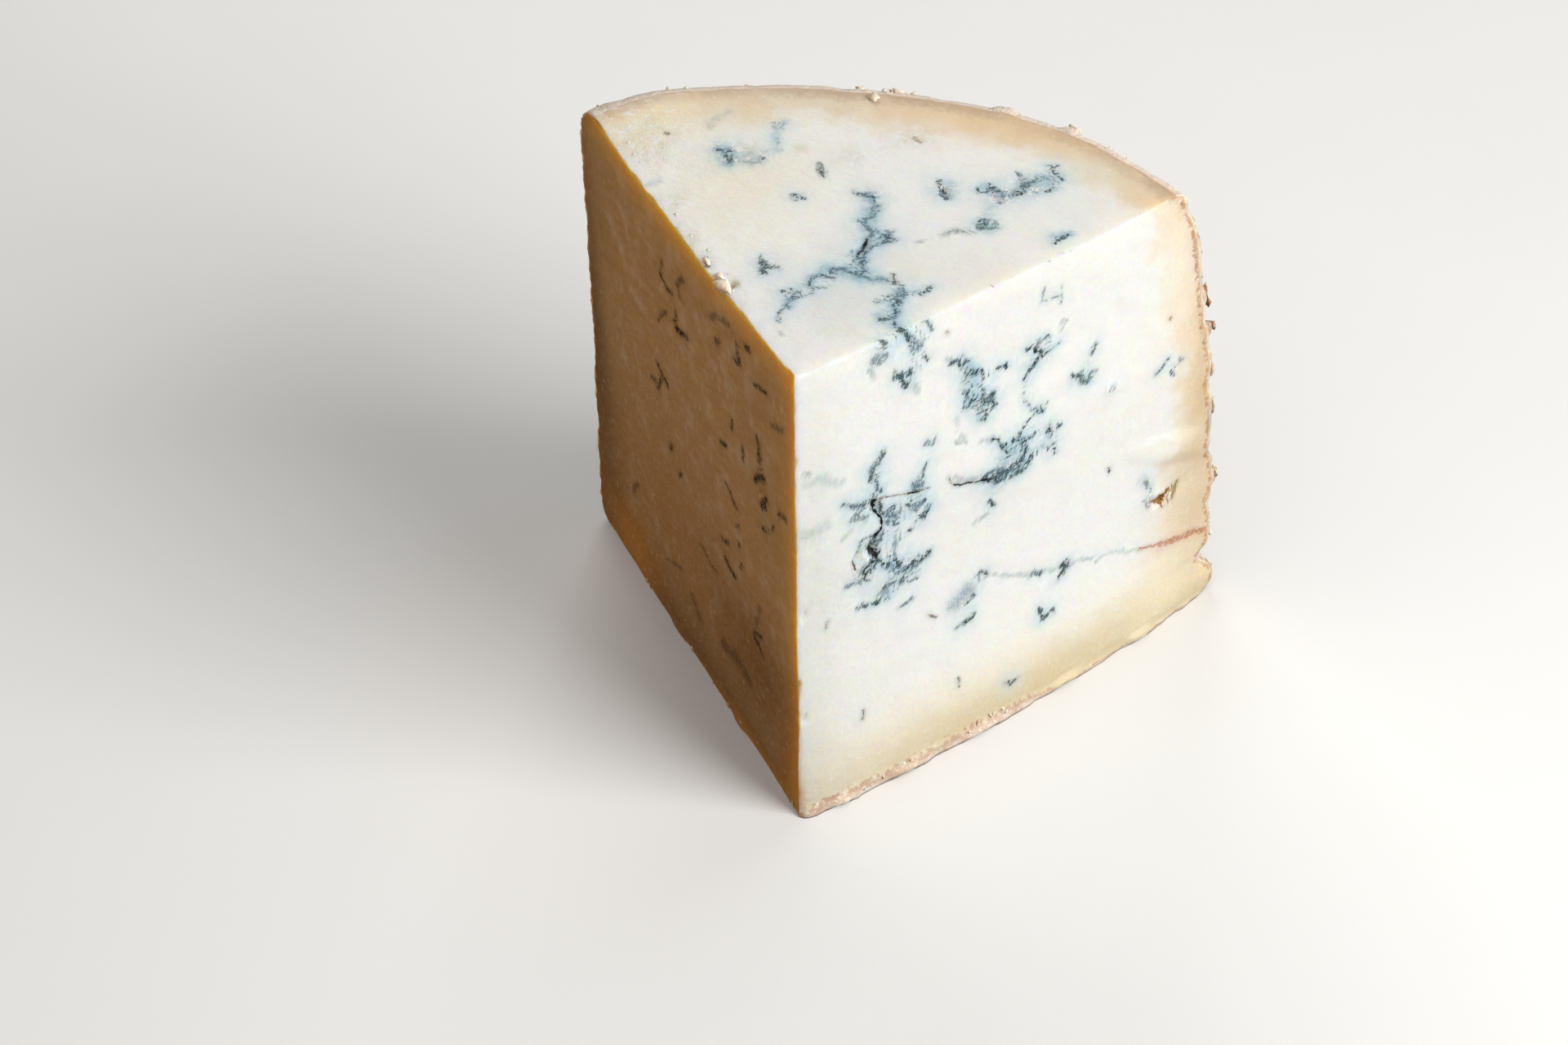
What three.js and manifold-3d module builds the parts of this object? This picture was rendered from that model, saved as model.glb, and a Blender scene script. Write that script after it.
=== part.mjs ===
// A wedge of blue Stilton: about a fifth of the lower half of a drum, standing on the drum's rind base.
// Millimetres, Z up. The two upright cuts meet at the tip, towards -Y, and the rind is at the back,
// towards +Y. Seen from the tip, the right cut is on the +X side. The origin is on the underside.
import * as THREE from "three";
import { mergeVertices } from "three/addons/utils/BufferGeometryUtils.js";
import Module from "manifold-3d";

// Driving dimensions
const HEIGHT = 120;
const WEDGE_ANGLE = THREE.MathUtils.degToRad(78);
const TIP_BEHIND_ORIGIN = 60;

// Radius of the drum's side at each cut. It has slumped, so it is wider towards the base.
const RIGHT = { top: 101.3, flare: 18.5, shoulder: 2.5, foot: 2.5 };
const LEFT = { top: 104.8, flare: 5.5, shoulder: 8, foot: 7 };
const RIND_RADIUS = 110;

// How fast the left cut's own shape takes over along the rind: the shoulder only at the very end.
const BLEND = { body: 4, shoulder: 14 };

// The cuts and the top were made with a wire and a knife, so none of them is quite flat. The bow and the
// dip are measured out of the face, and a hold is how firmly a face stays put near its far edge.
const LEAN = 1.8;
const RIGHT_BOW = { depth: 4.7, height: 42, fullness: 0.4 };
const TOP_DIP = { depth: 1.3, length: 40, seed: 2.2, variation: 0.4, hold: 12 };
const RIGHT_WAVE = { depth: 0.3, length: 46, seed: 0.4, hold: 8 };
const LEFT_WAVE = { depth: 0.3, length: 46, seed: 3.7, hold: 8 };

// Relief of the rind: slow swells, lumps, craggy ridges and the furrows between them. Lumps, ridges and
// furrows are a little flatter than they are wide.
const SWELL = { depth: 0.8, length: 58, seed: 1.3, flatness: 1 };
const LUMP = { depth: 0.8, length: 25, seed: 2.9, flatness: 1.3 };
const RIDGE = { depth: 1.1, length: 21, seed: 6.1, flatness: 1.2 };
const FURROW = { depth: 1.2, length: 27, seed: 4.4, flatness: 1.5, half: 0.4 };
const WAVE_COUNT = 7;

// The relief is calmer beside the cuts (as a share of the rind) and at the base and the top (in mm).
const CALM = { atCut: 0.35, cutReach: 0.12, atEnd: 0.4, baseReach: 6, topReach: 4 };

// Nicks (negative) and knobs (positive) where the right cut meets the rind: height, size out, half height.
const RIM_NICKS = [
  { z: 118, out: -1.6, half: 7 },
  { z: 70, out: 0.8, half: 5 },
  { z: 44, out: -1, half: 3.5 },
  { z: 34, out: 0.8, half: 2.5 },
  { z: 27, out: -1.2, half: 3 },
  { z: 11.5, out: -3.2, half: 2.6 },
  { z: 4, out: 2, half: 3 },
];
const NICK_REACH = 0.09;

// Unevenness of a pebble's outline.
const PEBBLE = { uneven: 0.28, length: 1.7 };

// Grid of the surface: cells across each cut and each half of the rind, and cells up the height.
const ACROSS = 24;
const UP = 31;
const EDGE_CROWDING = 0.4;

const RIGHT_CUT = (Math.PI - WEDGE_ANGLE) / 2;
const LEFT_CUT = RIGHT_CUT + WEDGE_ANGLE;
const ALONG_RIGHT = new THREE.Vector3(Math.cos(RIGHT_CUT), Math.sin(RIGHT_CUT), 0);
const OUT_OF_RIGHT = new THREE.Vector3(Math.sin(RIGHT_CUT), -Math.cos(RIGHT_CUT), 0);
const ALONG_LEFT = new THREE.Vector3(Math.cos(LEFT_CUT), Math.sin(LEFT_CUT), 0);
const OUT_OF_LEFT = new THREE.Vector3(-Math.sin(LEFT_CUT), Math.cos(LEFT_CUT), 0);

const mix = (a, b, share) => a + (b - a) * share;
const bell = (x, half) => Math.exp(-((x / half) ** 2));

function smooth(x) {
  const t = Math.min(Math.max(x, 0), 1);
  return t * t * (3 - 2 * t);
}

// Waves of about one length that cross in several directions: smooth unevenness from about -1 to 1.
function waves(x, y, z, { length, seed }) {
  let sum = 0;
  for (let i = 0; i < WAVE_COUNT; i++) {
    const turn = 2.4 * i + seed;
    const climb = Math.cos(1.7 * i + 2.3 * seed);
    const flat = Math.sqrt(1 - climb * climb);
    const along = flat * (Math.cos(turn) * x + Math.sin(turn) * y) + climb * z;
    const pitch = (2 * Math.PI * (0.75 + 0.09 * i)) / length;
    sum += Math.sin(pitch * along + 5.1 * i + 1.9 * seed);
  }
  return (1.6 * sum) / WAVE_COUNT;
}

// Moves grid lines towards both ends of a side, where the edges need them.
const crowd = (x) => x - (EDGE_CROWDING * Math.sin(2 * Math.PI * x)) / (2 * Math.PI);

// How far a quarter-round edge of this radius is set back at this depth from its face.
function setBack(radius, depth) {
  if (depth >= radius) return 0;
  return radius - Math.sqrt(radius * radius - (radius - depth) ** 2);
}

// Radius of the drum's side from the tip. share is 0 at the right cut and 1 at the left cut.
function sideRadius(share, z) {
  const quarter = (Math.PI / 2) * (1 - z / HEIGHT);
  const spread = mix(Math.sin(quarter), 1 - Math.cos(quarter), share);
  const flare = mix(RIGHT.flare, LEFT.flare, smooth(share)) * spread;
  const shoulder = mix(RIGHT.shoulder, LEFT.shoulder, share ** BLEND.shoulder);
  const foot = mix(RIGHT.foot, LEFT.foot, share ** BLEND.body);
  const top = mix(RIGHT.top, LEFT.top, share ** BLEND.body);
  return top + flare - setBack(shoulder, HEIGHT - z) - setBack(foot, z);
}

// How far the rind stands out from that radius.
function rindRelief(share, z) {
  const angle = RIGHT_CUT + share * WEDGE_ANGLE;
  const x = RIGHT.top * Math.cos(angle);
  const y = RIGHT.top * Math.sin(angle);
  const level = (relief) => waves(x, y, relief.flatness * z, relief);
  const swell = SWELL.depth * level(SWELL);
  const lump = LUMP.depth * level(LUMP);
  const ridge = RIDGE.depth * (0.5 - Math.abs(level(RIDGE)));
  const furrow = FURROW.depth * bell(level(FURROW), FURROW.half);
  let nicks = 0;
  for (const nick of RIM_NICKS) nicks += nick.out * bell(z - nick.z, nick.half);
  const fromCuts = smooth(share / CALM.cutReach) * smooth((1 - share) / CALM.cutReach);
  const fromEnds = smooth(z / CALM.baseReach) * smooth((HEIGHT - z) / CALM.topReach);
  const crags = (lump + ridge - furrow) * mix(CALM.atEnd, 1, fromEnds);
  return mix(CALM.atCut, 1, fromCuts) * (swell + crags) + nicks * bell(share, NICK_REACH);
}

// A point of the surface. s runs along the right cut and t along the left cut, from the tip at 0 to the
// rind at 1, and h runs up the height.
function surfacePoint(s, t, h) {
  const reach = Math.min(Math.max(s, t), 1);
  const share = s >= t ? (0.5 * t) / Math.max(s, 1e-9) : 1 - (0.5 * s) / t;
  const up = h * HEIGHT;
  const radius = reach * (sideRadius(share, up) + rindRelief(share, up));
  const angle = RIGHT_CUT + share * WEDGE_ANGLE;
  const point = new THREE.Vector3(radius * Math.cos(angle), radius * Math.sin(angle), up);

  const onRight = 1 - smooth(share / 0.5);
  const onLeft = smooth((share - 0.5) / 0.5);
  const low = Math.max(0, 1 - up / RIGHT_BOW.height);
  const bow = RIGHT_BOW.depth * Math.abs(Math.sin(Math.PI * reach)) ** RIGHT_BOW.fullness * low * low;
  const rightWave = RIGHT_WAVE.depth * waves(radius, 0, up, RIGHT_WAVE) * (1 - reach ** RIGHT_WAVE.hold);
  const leftWave = LEFT_WAVE.depth * waves(radius, 0, up, LEFT_WAVE) * (1 - reach ** LEFT_WAVE.hold);
  point.addScaledVector(OUT_OF_RIGHT, (bow + rightWave) * onRight);
  point.addScaledVector(OUT_OF_LEFT, leftWave * onLeft);

  const hollow = 1 + TOP_DIP.variation * waves(point.x, point.y, 0, TOP_DIP);
  point.z -= TOP_DIP.depth * Math.sin(Math.PI * reach) * hollow * h ** TOP_DIP.hold;
  point.addScaledVector(ALONG_RIGHT, (-LEAN / Math.sin(WEDGE_ANGLE)) * h);
  point.y -= TIP_BEHIND_ORIGIN;
  return point;
}

// The body of the wedge: a box whose corner edge is the tip, and whose two far sides make the rind.
function wedgeGeometry() {
  const geometry = new THREE.BoxGeometry(1, 1, 1, ACROSS, ACROSS, UP);
  const position = geometry.getAttribute("position");
  for (let i = 0; i < position.count; i++) {
    const s = crowd(position.getX(i) + 0.5);
    const t = crowd(position.getY(i) + 0.5);
    const h = crowd(position.getZ(i) + 0.5);
    const p = surfacePoint(s, t, h);
    position.setXYZ(i, p.x, p.y, p.z);
  }
  return geometry;
}

// Places on the surface: a middle, the direction along the face, the way out of it and how the face bends.
function onRightCut(distance, z) {
  const s = distance / sideRadius(0, z);
  return { at: surfacePoint(s, 0, z / HEIGHT), along: ALONG_RIGHT, out: OUT_OF_RIGHT, bend: 0 };
}

function onLeftCut(distance, z) {
  const t = distance / sideRadius(1, z);
  const along = ALONG_LEFT.clone().negate();
  return { at: surfacePoint(0, t, z / HEIGHT), along, out: OUT_OF_LEFT, bend: 0 };
}

// x and y are measured from the tip.
function onTop(x, y) {
  const share = (Math.atan2(y, x) - RIGHT_CUT) / WEDGE_ANGLE;
  const reach = Math.hypot(x, y) / sideRadius(share, HEIGHT);
  const s = share <= 0.5 ? reach : 2 * reach * (1 - share);
  const t = share <= 0.5 ? 2 * reach * share : reach;
  const along = new THREE.Vector3(1, 0, 0);
  return { at: surfacePoint(s, t, 1), along, out: new THREE.Vector3(0, 0, 1), bend: 0 };
}

function onRind(share, z) {
  const s = share <= 0.5 ? 1 : 2 * (1 - share);
  const t = share <= 0.5 ? 2 * share : 1;
  const angle = RIGHT_CUT + share * WEDGE_ANGLE;
  const out = new THREE.Vector3(Math.cos(angle), Math.sin(angle), 0);
  const along = new THREE.Vector3(-Math.sin(angle), Math.cos(angle), 0);
  return { at: surfacePoint(s, t, z / HEIGHT), along, out, bend: 1 / RIND_RADIUS };
}

// An uneven pebble with its middle at a place on the surface. depth is how far it stands out of the face
// and into it, turn is from the direction along the face, and tilt lifts one long side, both in degrees.
function pebble(place, length, width, depth, turn, seed, tilt = 0) {
  const geometry = new THREE.IcosahedronGeometry(1, 1);
  const position = geometry.getAttribute("position");
  const across = new THREE.Vector3().crossVectors(place.out, place.along);
  const turned = new THREE.Matrix4().makeRotationZ(THREE.MathUtils.degToRad(turn));
  turned.multiply(new THREE.Matrix4().makeRotationX(THREE.MathUtils.degToRad(tilt)));
  const placed = new THREE.Matrix4().makeBasis(place.along, across, place.out).setPosition(place.at);
  const p = new THREE.Vector3();
  for (let i = 0; i < position.count; i++) {
    p.fromBufferAttribute(position, i);
    const uneven = 1 + PEBBLE.uneven * waves(p.x, p.y, p.z, { length: PEBBLE.length, seed });
    p.set((p.x * length * uneven) / 2, (p.y * width * uneven) / 2, p.z * depth);
    p.applyMatrix4(turned);
    p.z -= (place.bend * p.x * p.x) / 2;
    p.applyMatrix4(placed);
    position.setXYZ(i, p.x, p.y, p.z);
  }
  return geometry;
}

// Openings between the curds, and chips in the edges: length, width, depth, turn and seed.
function hollows() {
  return [
    pebble(onRightCut(101.5, 38), 4.6, 3.4, 2.6, -20, 1),
    pebble(onRightCut(108, 37), 5.4, 1.6, 1.8, 68, 2),
    pebble(onRightCut(18.5, 76), 6.5, 1.9, 2.4, -72, 3),
    pebble(onRightCut(19.6, 70.5), 5, 1.5, 2.2, 78, 4),
    pebble(onRightCut(17.5, 64.5), 5.2, 2.4, 2.6, -60, 5),
    pebble(onRightCut(14, 63), 4.8, 1.4, 1.6, 66, 6),
    pebble(onRightCut(43, 70.5), 9, 1.3, 1.7, 8, 7),
    pebble(onRightCut(0, 58), 1.4, 3, 1.1, 0, 14),
    pebble(onRightCut(0, 29), 1.2, 4, 0.9, 0, 15),
    pebble(onTop(-20.5, 26.5), 3.6, 3, 2, 20, 8),
    pebble(onTop(3, 44), 6.5, 1.5, 1.6, 62, 9),
    pebble(onLeftCut(19, 79), 5, 2, 1.8, -50, 10),
    pebble(onLeftCut(17.5, 71), 4, 1.8, 1.6, -60, 11),
    pebble(onLeftCut(57, 91), 6, 1.4, 1.3, -10, 12),
    pebble(onLeftCut(67, 72.5), 6, 1.3, 1.3, -45, 13),
  ];
}

// Crags where the rind meets the cuts, the top and the base: length, width, depth, turn, seed and tilt.
function crags() {
  return [
    pebble(onRind(0.012, 88), 3, 6, 1.7, 0, 21, 12),
    pebble(onRind(0.01, 78.5), 2.6, 4, 1.9, 0, 22),
    pebble(onRind(0.015, 52), 3, 7, 1.2, 0, 23),
    pebble(onRind(0.012, 32), 3, 5, 1.5, 0, 24),
    pebble(onRind(0.565, 119.2), 3.4, 2, 1.3, 5, 25),
    pebble(onRind(0.52, 119.2), 3, 2, 1.4, 0, 26),
    pebble(onRind(0.34, 119), 7, 2.2, 1.3, -4, 27),
    pebble(onRind(0.23, 119), 5, 2, 1.4, 3, 28),
    pebble(onRightCut(9, 1), 6, 2.2, 1, 2, 29),
    pebble(onRightCut(26, 1.2), 9, 2.4, 1, -2, 30),
    pebble(onRightCut(47, 1), 11, 2, 0.9, 1, 31),
    pebble(onRightCut(72, 1), 10, 2.2, 1.1, 0, 32),
    pebble(onRightCut(95, 1.2), 9, 2.4, 1, -2, 33),
    pebble(onLeftCut(30, 1), 9, 1.8, 0.7, 1, 34),
    pebble(onLeftCut(63, 1), 12, 2, 0.8, 0, 35),
  ];
}

// Joins and cuts need closed solids, and a mesh comes back from one.
const wasm = await Module();
wasm.setup();

function toSolid(geometry) {
  const bare = new THREE.BufferGeometry();
  bare.setAttribute("position", geometry.getAttribute("position"));
  if (geometry.index) bare.setIndex(geometry.index);
  const merged = mergeVertices(bare, 1e-4);
  const vertProperties = new Float32Array(merged.getAttribute("position").array);
  const triVerts = new Uint32Array(merged.index.array);
  return new wasm.Manifold(new wasm.Mesh({ numProp: 3, vertProperties, triVerts }));
}

function toGeometry(solid) {
  const mesh = solid.getMesh();
  const geometry = new THREE.BufferGeometry();
  geometry.setAttribute("position", new THREE.BufferAttribute(mesh.vertProperties, 3));
  geometry.setIndex(new THREE.BufferAttribute(mesh.triVerts, 1));
  geometry.computeVertexNormals();
  return geometry;
}

// A block over the underside: what is below it is cut away, so that the wedge stands on one flat face.
function roomAboveUnderside() {
  const span = 4 * HEIGHT;
  const block = new THREE.BoxGeometry(span, span, span);
  block.translate(0, 0, span / 2);
  return toSolid(block);
}

function wedge() {
  let solid = toSolid(wedgeGeometry());
  for (const crag of crags()) solid = solid.add(toSolid(crag));
  for (const hollow of hollows()) solid = solid.subtract(toSolid(hollow));
  solid = solid.intersect(roomAboveUnderside());
  const paste = new THREE.MeshStandardMaterial({ color: 0xede6d0, roughness: 0.55, metalness: 0 });
  const mesh = new THREE.Mesh(toGeometry(solid), paste);
  mesh.name = "stilton_wedge";
  return mesh;
}

const group = new THREE.Group();
group.add(wedge());

export default group;
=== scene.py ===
import math

import bmesh
import bpy
import numpy as np
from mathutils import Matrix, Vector, noise


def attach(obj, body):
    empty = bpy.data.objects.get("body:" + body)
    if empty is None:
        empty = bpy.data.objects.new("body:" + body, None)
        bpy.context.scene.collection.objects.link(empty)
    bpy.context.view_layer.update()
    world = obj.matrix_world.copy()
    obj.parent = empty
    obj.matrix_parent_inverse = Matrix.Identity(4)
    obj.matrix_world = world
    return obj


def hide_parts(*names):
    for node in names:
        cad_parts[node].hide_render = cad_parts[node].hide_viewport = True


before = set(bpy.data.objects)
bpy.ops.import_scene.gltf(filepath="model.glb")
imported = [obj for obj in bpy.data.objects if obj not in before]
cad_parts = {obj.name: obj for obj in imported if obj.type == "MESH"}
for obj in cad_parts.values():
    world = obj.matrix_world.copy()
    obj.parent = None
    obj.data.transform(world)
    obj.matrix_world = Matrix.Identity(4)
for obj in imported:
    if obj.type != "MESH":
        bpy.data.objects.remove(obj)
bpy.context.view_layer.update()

MM = 0.001
TINY = 1e-9

# The form, in millimetres. Two upright cuts meet at the tip, towards -Y, and the rind is at the back. The
# right cut is the one on the +X side.
HEIGHT = 120.0
WEDGE_ANGLE = math.radians(78)
TIP_BEHIND_ORIGIN = 60.0
RIGHT = {"top": 101.3, "flare": 18.5, "shoulder": 2.5, "foot": 2.5}
LEFT = {"top": 104.8, "flare": 5.5, "shoulder": 8.0, "foot": 7.0}
BLEND = {"body": 4, "shoulder": 14}
LEAN = 1.8
RIGHT_BOW = {"depth": 4.7, "height": 42.0, "fullness": 0.4}
TOP_DIP = {"depth": 1.3, "length": 40.0, "seed": 2.2, "variation": 0.4, "hold": 12}
CUT_WAVES = {"depth": 0.3, "length": 46.0, "hold": 8, "right_seed": 0.4, "left_seed": 3.7}

# The rind's relief: swells, lumps, ridges and furrows, calmer at the cuts and at the top and foot.
SWELL = {"depth": 0.8, "length": 58.0, "seed": 1.3, "flatness": 1.0}
LUMP = {"depth": 0.8, "length": 25.0, "seed": 2.9, "flatness": 1.3}
RIDGE = {"depth": 1.1, "length": 21.0, "seed": 6.1, "flatness": 1.2}
FURROW = {"depth": 1.2, "length": 27.0, "seed": 4.4, "flatness": 1.5, "half": 0.4}
CALM = {"at_cut": 0.35, "cut_reach": 0.12, "at_end": 0.4, "base_reach": 6.0, "top_reach": 4.0}
# Nicks and knobs of the rind's edge at the right cut: height, how far out, and half height.
RIM_NICKS = (
    (118, -1.6, 7), (70, 0.8, 5), (44, -1, 3.5), (34, 0.8, 2.5), (27, -1.2, 3), (11.5, -3.2, 2.6), (4, 2, 3),
)
NICK_REACH = 0.09

# Uneven surfaces are sums of waves. These are the steps from one wave to the next.
WAVE_COUNT = 7
WAVE_STEPS = {"turn": 2.4, "climb": 1.7, "phase": 5.1, "pitch": 0.09}
WAVE_SEEDS = {"climb": 2.3, "phase": 1.9}
FIRST_PITCH = 0.75
WAVE_GAIN = 1.6

# Cells of the mesh across each cut and up its height, and how much they crowd towards the edges.
ACROSS = 130
UP = 145
EDGE_CROWDING = 0.3

RIGHT_CUT = (math.pi - WEDGE_ANGLE) / 2
LEFT_CUT = RIGHT_CUT + WEDGE_ANGLE
RIND_LENGTH = WEDGE_ANGLE * RIGHT["top"]
ALONG_RIGHT = np.array((math.cos(RIGHT_CUT), math.sin(RIGHT_CUT), 0))
ALONG_LEFT = np.array((math.cos(LEFT_CUT), math.sin(LEFT_CUT), 0))
OUT_OF_RIGHT = np.array((math.sin(RIGHT_CUT), -math.cos(RIGHT_CUT), 0))
OUT_OF_LEFT = np.array((-math.sin(LEFT_CUT), math.cos(LEFT_CUT), 0))
TIP = np.array((0, -TIP_BEHIND_ORIGIN, 0))
SIDEWAYS, BACKWARDS, UPWARDS = np.eye(3)

# The directions in which a place on a flat face is counted, from the foot of the tip, and the face's height.
FACES = {
    "right": (ALONG_RIGHT, UPWARDS, 0),
    "left": (ALONG_LEFT, UPWARDS, 0),
    "top": (SIDEWAYS, BACKWARDS, HEIGHT),
}


def mix(a, b, share):
    return a + (b - a) * share


def smooth(x):
    x = np.clip(x, 0, 1)
    return x * x * (3 - 2 * x)


def bell(x, half):
    return np.exp(-((x / half) ** 2))


def waves(x, y, z, length, seed):
    """Waves that cross in many directions, between about -1 and 1."""
    total = 0
    for i in range(WAVE_COUNT):
        turn = WAVE_STEPS["turn"] * i + seed
        climb = math.cos(WAVE_STEPS["climb"] * i + WAVE_SEEDS["climb"] * seed)
        flat = math.sqrt(1 - climb * climb)
        along = flat * (math.cos(turn) * x + math.sin(turn) * y) + climb * z
        pitch = 2 * math.pi * (FIRST_PITCH + WAVE_STEPS["pitch"] * i) / length
        total = total + np.sin(pitch * along + WAVE_STEPS["phase"] * i + WAVE_SEEDS["phase"] * seed)
    return WAVE_GAIN * total / WAVE_COUNT


def set_back(radius, depth):
    """How far a rounded edge is set back at a depth below the edge."""
    inside = np.clip(radius - depth, 0, radius)
    return radius - np.sqrt(np.maximum(radius ** 2 - inside ** 2, 0))


def side_radius(share, z):
    """The rind's distance from the tip. The share is 0 at the right cut and 1 at the left."""
    quarter = (math.pi / 2) * (1 - z / HEIGHT)
    spread = mix(np.sin(quarter), 1 - np.cos(quarter), share)
    flare = mix(RIGHT["flare"], LEFT["flare"], smooth(share)) * spread
    shoulder = mix(RIGHT["shoulder"], LEFT["shoulder"], share ** BLEND["shoulder"])
    foot = mix(RIGHT["foot"], LEFT["foot"], share ** BLEND["body"])
    top = mix(RIGHT["top"], LEFT["top"], share ** BLEND["body"])
    return top + flare - set_back(shoulder, HEIGHT - z) - set_back(foot, z)


def rind_relief(share, z):
    """How far the rind stands out from its radius."""
    angle = RIGHT_CUT + share * WEDGE_ANGLE
    x = RIGHT["top"] * np.cos(angle)
    y = RIGHT["top"] * np.sin(angle)

    def level(kind):
        return waves(x, y, kind["flatness"] * z, kind["length"], kind["seed"])

    nicks = sum(out * bell(z - at, half) for at, out, half in RIM_NICKS)
    from_cuts = smooth(share / CALM["cut_reach"]) * smooth((1 - share) / CALM["cut_reach"])
    from_ends = smooth(z / CALM["base_reach"]) * smooth((HEIGHT - z) / CALM["top_reach"])
    swell = SWELL["depth"] * level(SWELL)
    crags = LUMP["depth"] * level(LUMP) + RIDGE["depth"] * (0.5 - np.abs(level(RIDGE)))
    furrows = FURROW["depth"] * bell(level(FURROW), FURROW["half"])
    crags = (crags - furrows) * mix(CALM["at_end"], 1, from_ends)
    return mix(CALM["at_cut"], 1, from_cuts) * (swell + crags) + nicks * bell(share, NICK_REACH)


def crowd(x):
    """Moves the grid lines between 0 and 1 towards both ends."""
    return x - EDGE_CROWDING * np.sin(2 * math.pi * x) / (2 * math.pi)


def wedge_points(s, t, h):
    """Places of the unit cube's surface points on the wedge, with each point's reach, share and radius."""
    reach = np.minimum(np.maximum(s, t), 1)
    share = np.where(s >= t, 0.5 * t / np.maximum(s, TINY), 1 - 0.5 * s / np.maximum(t, TINY))
    up = h * HEIGHT
    angle = RIGHT_CUT + share * WEDGE_ANGLE
    full = side_radius(share, up) + rind_relief(share, up)
    radius = reach * full
    points = np.stack((radius * np.cos(angle), radius * np.sin(angle), up), axis=1)
    low = np.maximum(0, 1 - up / RIGHT_BOW["height"])
    bow = RIGHT_BOW["depth"] * np.abs(np.sin(math.pi * reach)) ** RIGHT_BOW["fullness"] * low ** 2

    def cut_wave(side):
        height = waves(radius, 0, up, CUT_WAVES["length"], CUT_WAVES[side])
        return CUT_WAVES["depth"] * height * (1 - reach ** CUT_WAVES["hold"])

    points += np.outer((bow + cut_wave("right_seed")) * (1 - smooth(share / 0.5)), OUT_OF_RIGHT)
    points += np.outer(cut_wave("left_seed") * smooth((share - 0.5) / 0.5), OUT_OF_LEFT)
    swell = waves(points[:, 0], points[:, 1], 0, TOP_DIP["length"], TOP_DIP["seed"])
    hollow = 1 + TOP_DIP["variation"] * swell
    points[:, 2] -= TOP_DIP["depth"] * np.sin(math.pi * reach) * hollow * h ** TOP_DIP["hold"]
    points += np.outer(h, ALONG_RIGHT * (-LEAN / math.sin(WEDGE_ANGLE)))
    return points + TIP, reach, share, full


def cube_skin():
    """Lattice points of the unit cube's surface, its quads, and the side of the cube each quad is on."""
    spans = np.array((ACROSS, ACROSS, UP))
    triples = []
    quads = []
    sides = []
    count = 0
    for axis in range(3):
        a, b = [k for k in range(3) if k != axis]
        for end in (0, 1):
            if axis == 2 and end == 0:
                continue
            i, j = np.meshgrid(np.arange(spans[a] + 1), np.arange(spans[b] + 1), indexing="ij")
            grid = np.zeros(i.shape + (3,), int)
            grid[..., a] = i
            grid[..., b] = j
            grid[..., axis] = end * spans[axis]
            triples.append(grid.reshape(-1, 3))
            number = count + np.arange(i.size).reshape(i.shape)
            ring = [number[:-1, :-1], number[1:, :-1], number[1:, 1:], number[:-1, 1:]]
            if (end == 1) == (axis == 1):
                ring.reverse()
            quads.append(np.stack([r.ravel() for r in ring], axis=1))
            sides.append(np.full(len(quads[-1]), 2 * axis + end))
            count += i.size
    lattice, place = np.unique(np.concatenate(triples), axis=0, return_inverse=True)
    return lattice / spans, place.ravel()[np.concatenate(quads)], np.concatenate(sides)


def vertex_normals(points, quads):
    corners = points[quads]
    across = np.cross(corners[:, 2] - corners[:, 0], corners[:, 3] - corners[:, 1])
    normals = np.zeros_like(points)
    for k in range(4):
        np.add.at(normals, quads[:, k], across)
    return normals / np.maximum(np.linalg.norm(normals, axis=1, keepdims=True), TINY)


SEED_SHIFT = {"noise": 17.3, "cells": 11.9}


def roughness_field(points, size, seed, rise=1):
    """Noise between about -1 and 1. Its features are size millimetres across, and rise times as high."""
    scaled = points / (size * np.array((1, 1, rise))) + SEED_SHIFT["noise"] * seed
    return np.array([noise.noise(Vector(p)) for p in scaled])


def cell_distance(points, size, seed):
    """Distance to the nearest of many scattered seeds, in cells."""
    scaled = points / size + SEED_SHIFT["cells"] * seed
    return np.array([noise.voronoi(Vector(p))[0][0] for p in scaled])


# Hollows and crags: where, length, width, depth and turn in degrees. Crags are raised, so their depth is
# negative. On the rind, the first number is the share of the way from the right cut to the left.
MARKS = {
    "right": (
        (100.5, 36.2, 3.8, 3.2, 1.6, 0), (105.2, 36.8, 4.4, 1.5, 0.7, 66), (18.4, 77.8, 6.2, 1.8, 0.9, -70),
        (17.9, 66.5, 5, 2, 1.8, -62), (14, 66.8, 5, 1.7, 0.9, 72), (1, 58, 1.4, 3, 1.1, 0),
        (1, 29, 1.2, 4, 0.9, 0), (9, 1, 6, 2.2, -0.8, 0), (26, 1.2, 9, 2.4, -0.8, 0), (47, 1, 11, 2, -0.7, 0),
        (72, 1, 10, 2.2, -0.9, 0), (95, 1.2, 9, 2.4, -0.8, 0), (103, 50, 32, 10, -0.35, -22),
        (105, 42, 20, 12, 0.35, -22),
    ),
    "top": ((-20.5, 26.5, 3.6, 3, 1.6, 20), (1.8, 43.5, 7, 1.3, 0.8, 82), (13.9, 65.6, 4.8, 2, 0.5, -60)),
    "left": (
        (15, 79, 5, 2, 1.2, 50), (56, 92.5, 6, 1.6, 0.9, 10), (67, 72.5, 6, 1.5, 0.9, 45),
        (30, 1, 9, 1.8, -0.6, 0), (63, 1, 12, 2, -0.6, 0),
    ),
    "rind": (
        (0.012, 88, 3, 6, -1.7, 0), (0.01, 78.5, 2.6, 4, -1.9, 0), (0.015, 52, 3, 7, -1.2, 0),
        (0.012, 32, 3, 5, -1.5, 0), (0.34, 119, 7, 2.2, -0.8, 0), (0.23, 119, 5, 2, -0.8, 0),
    ),
}
MARK_STEEPNESS = 1.25


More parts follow.
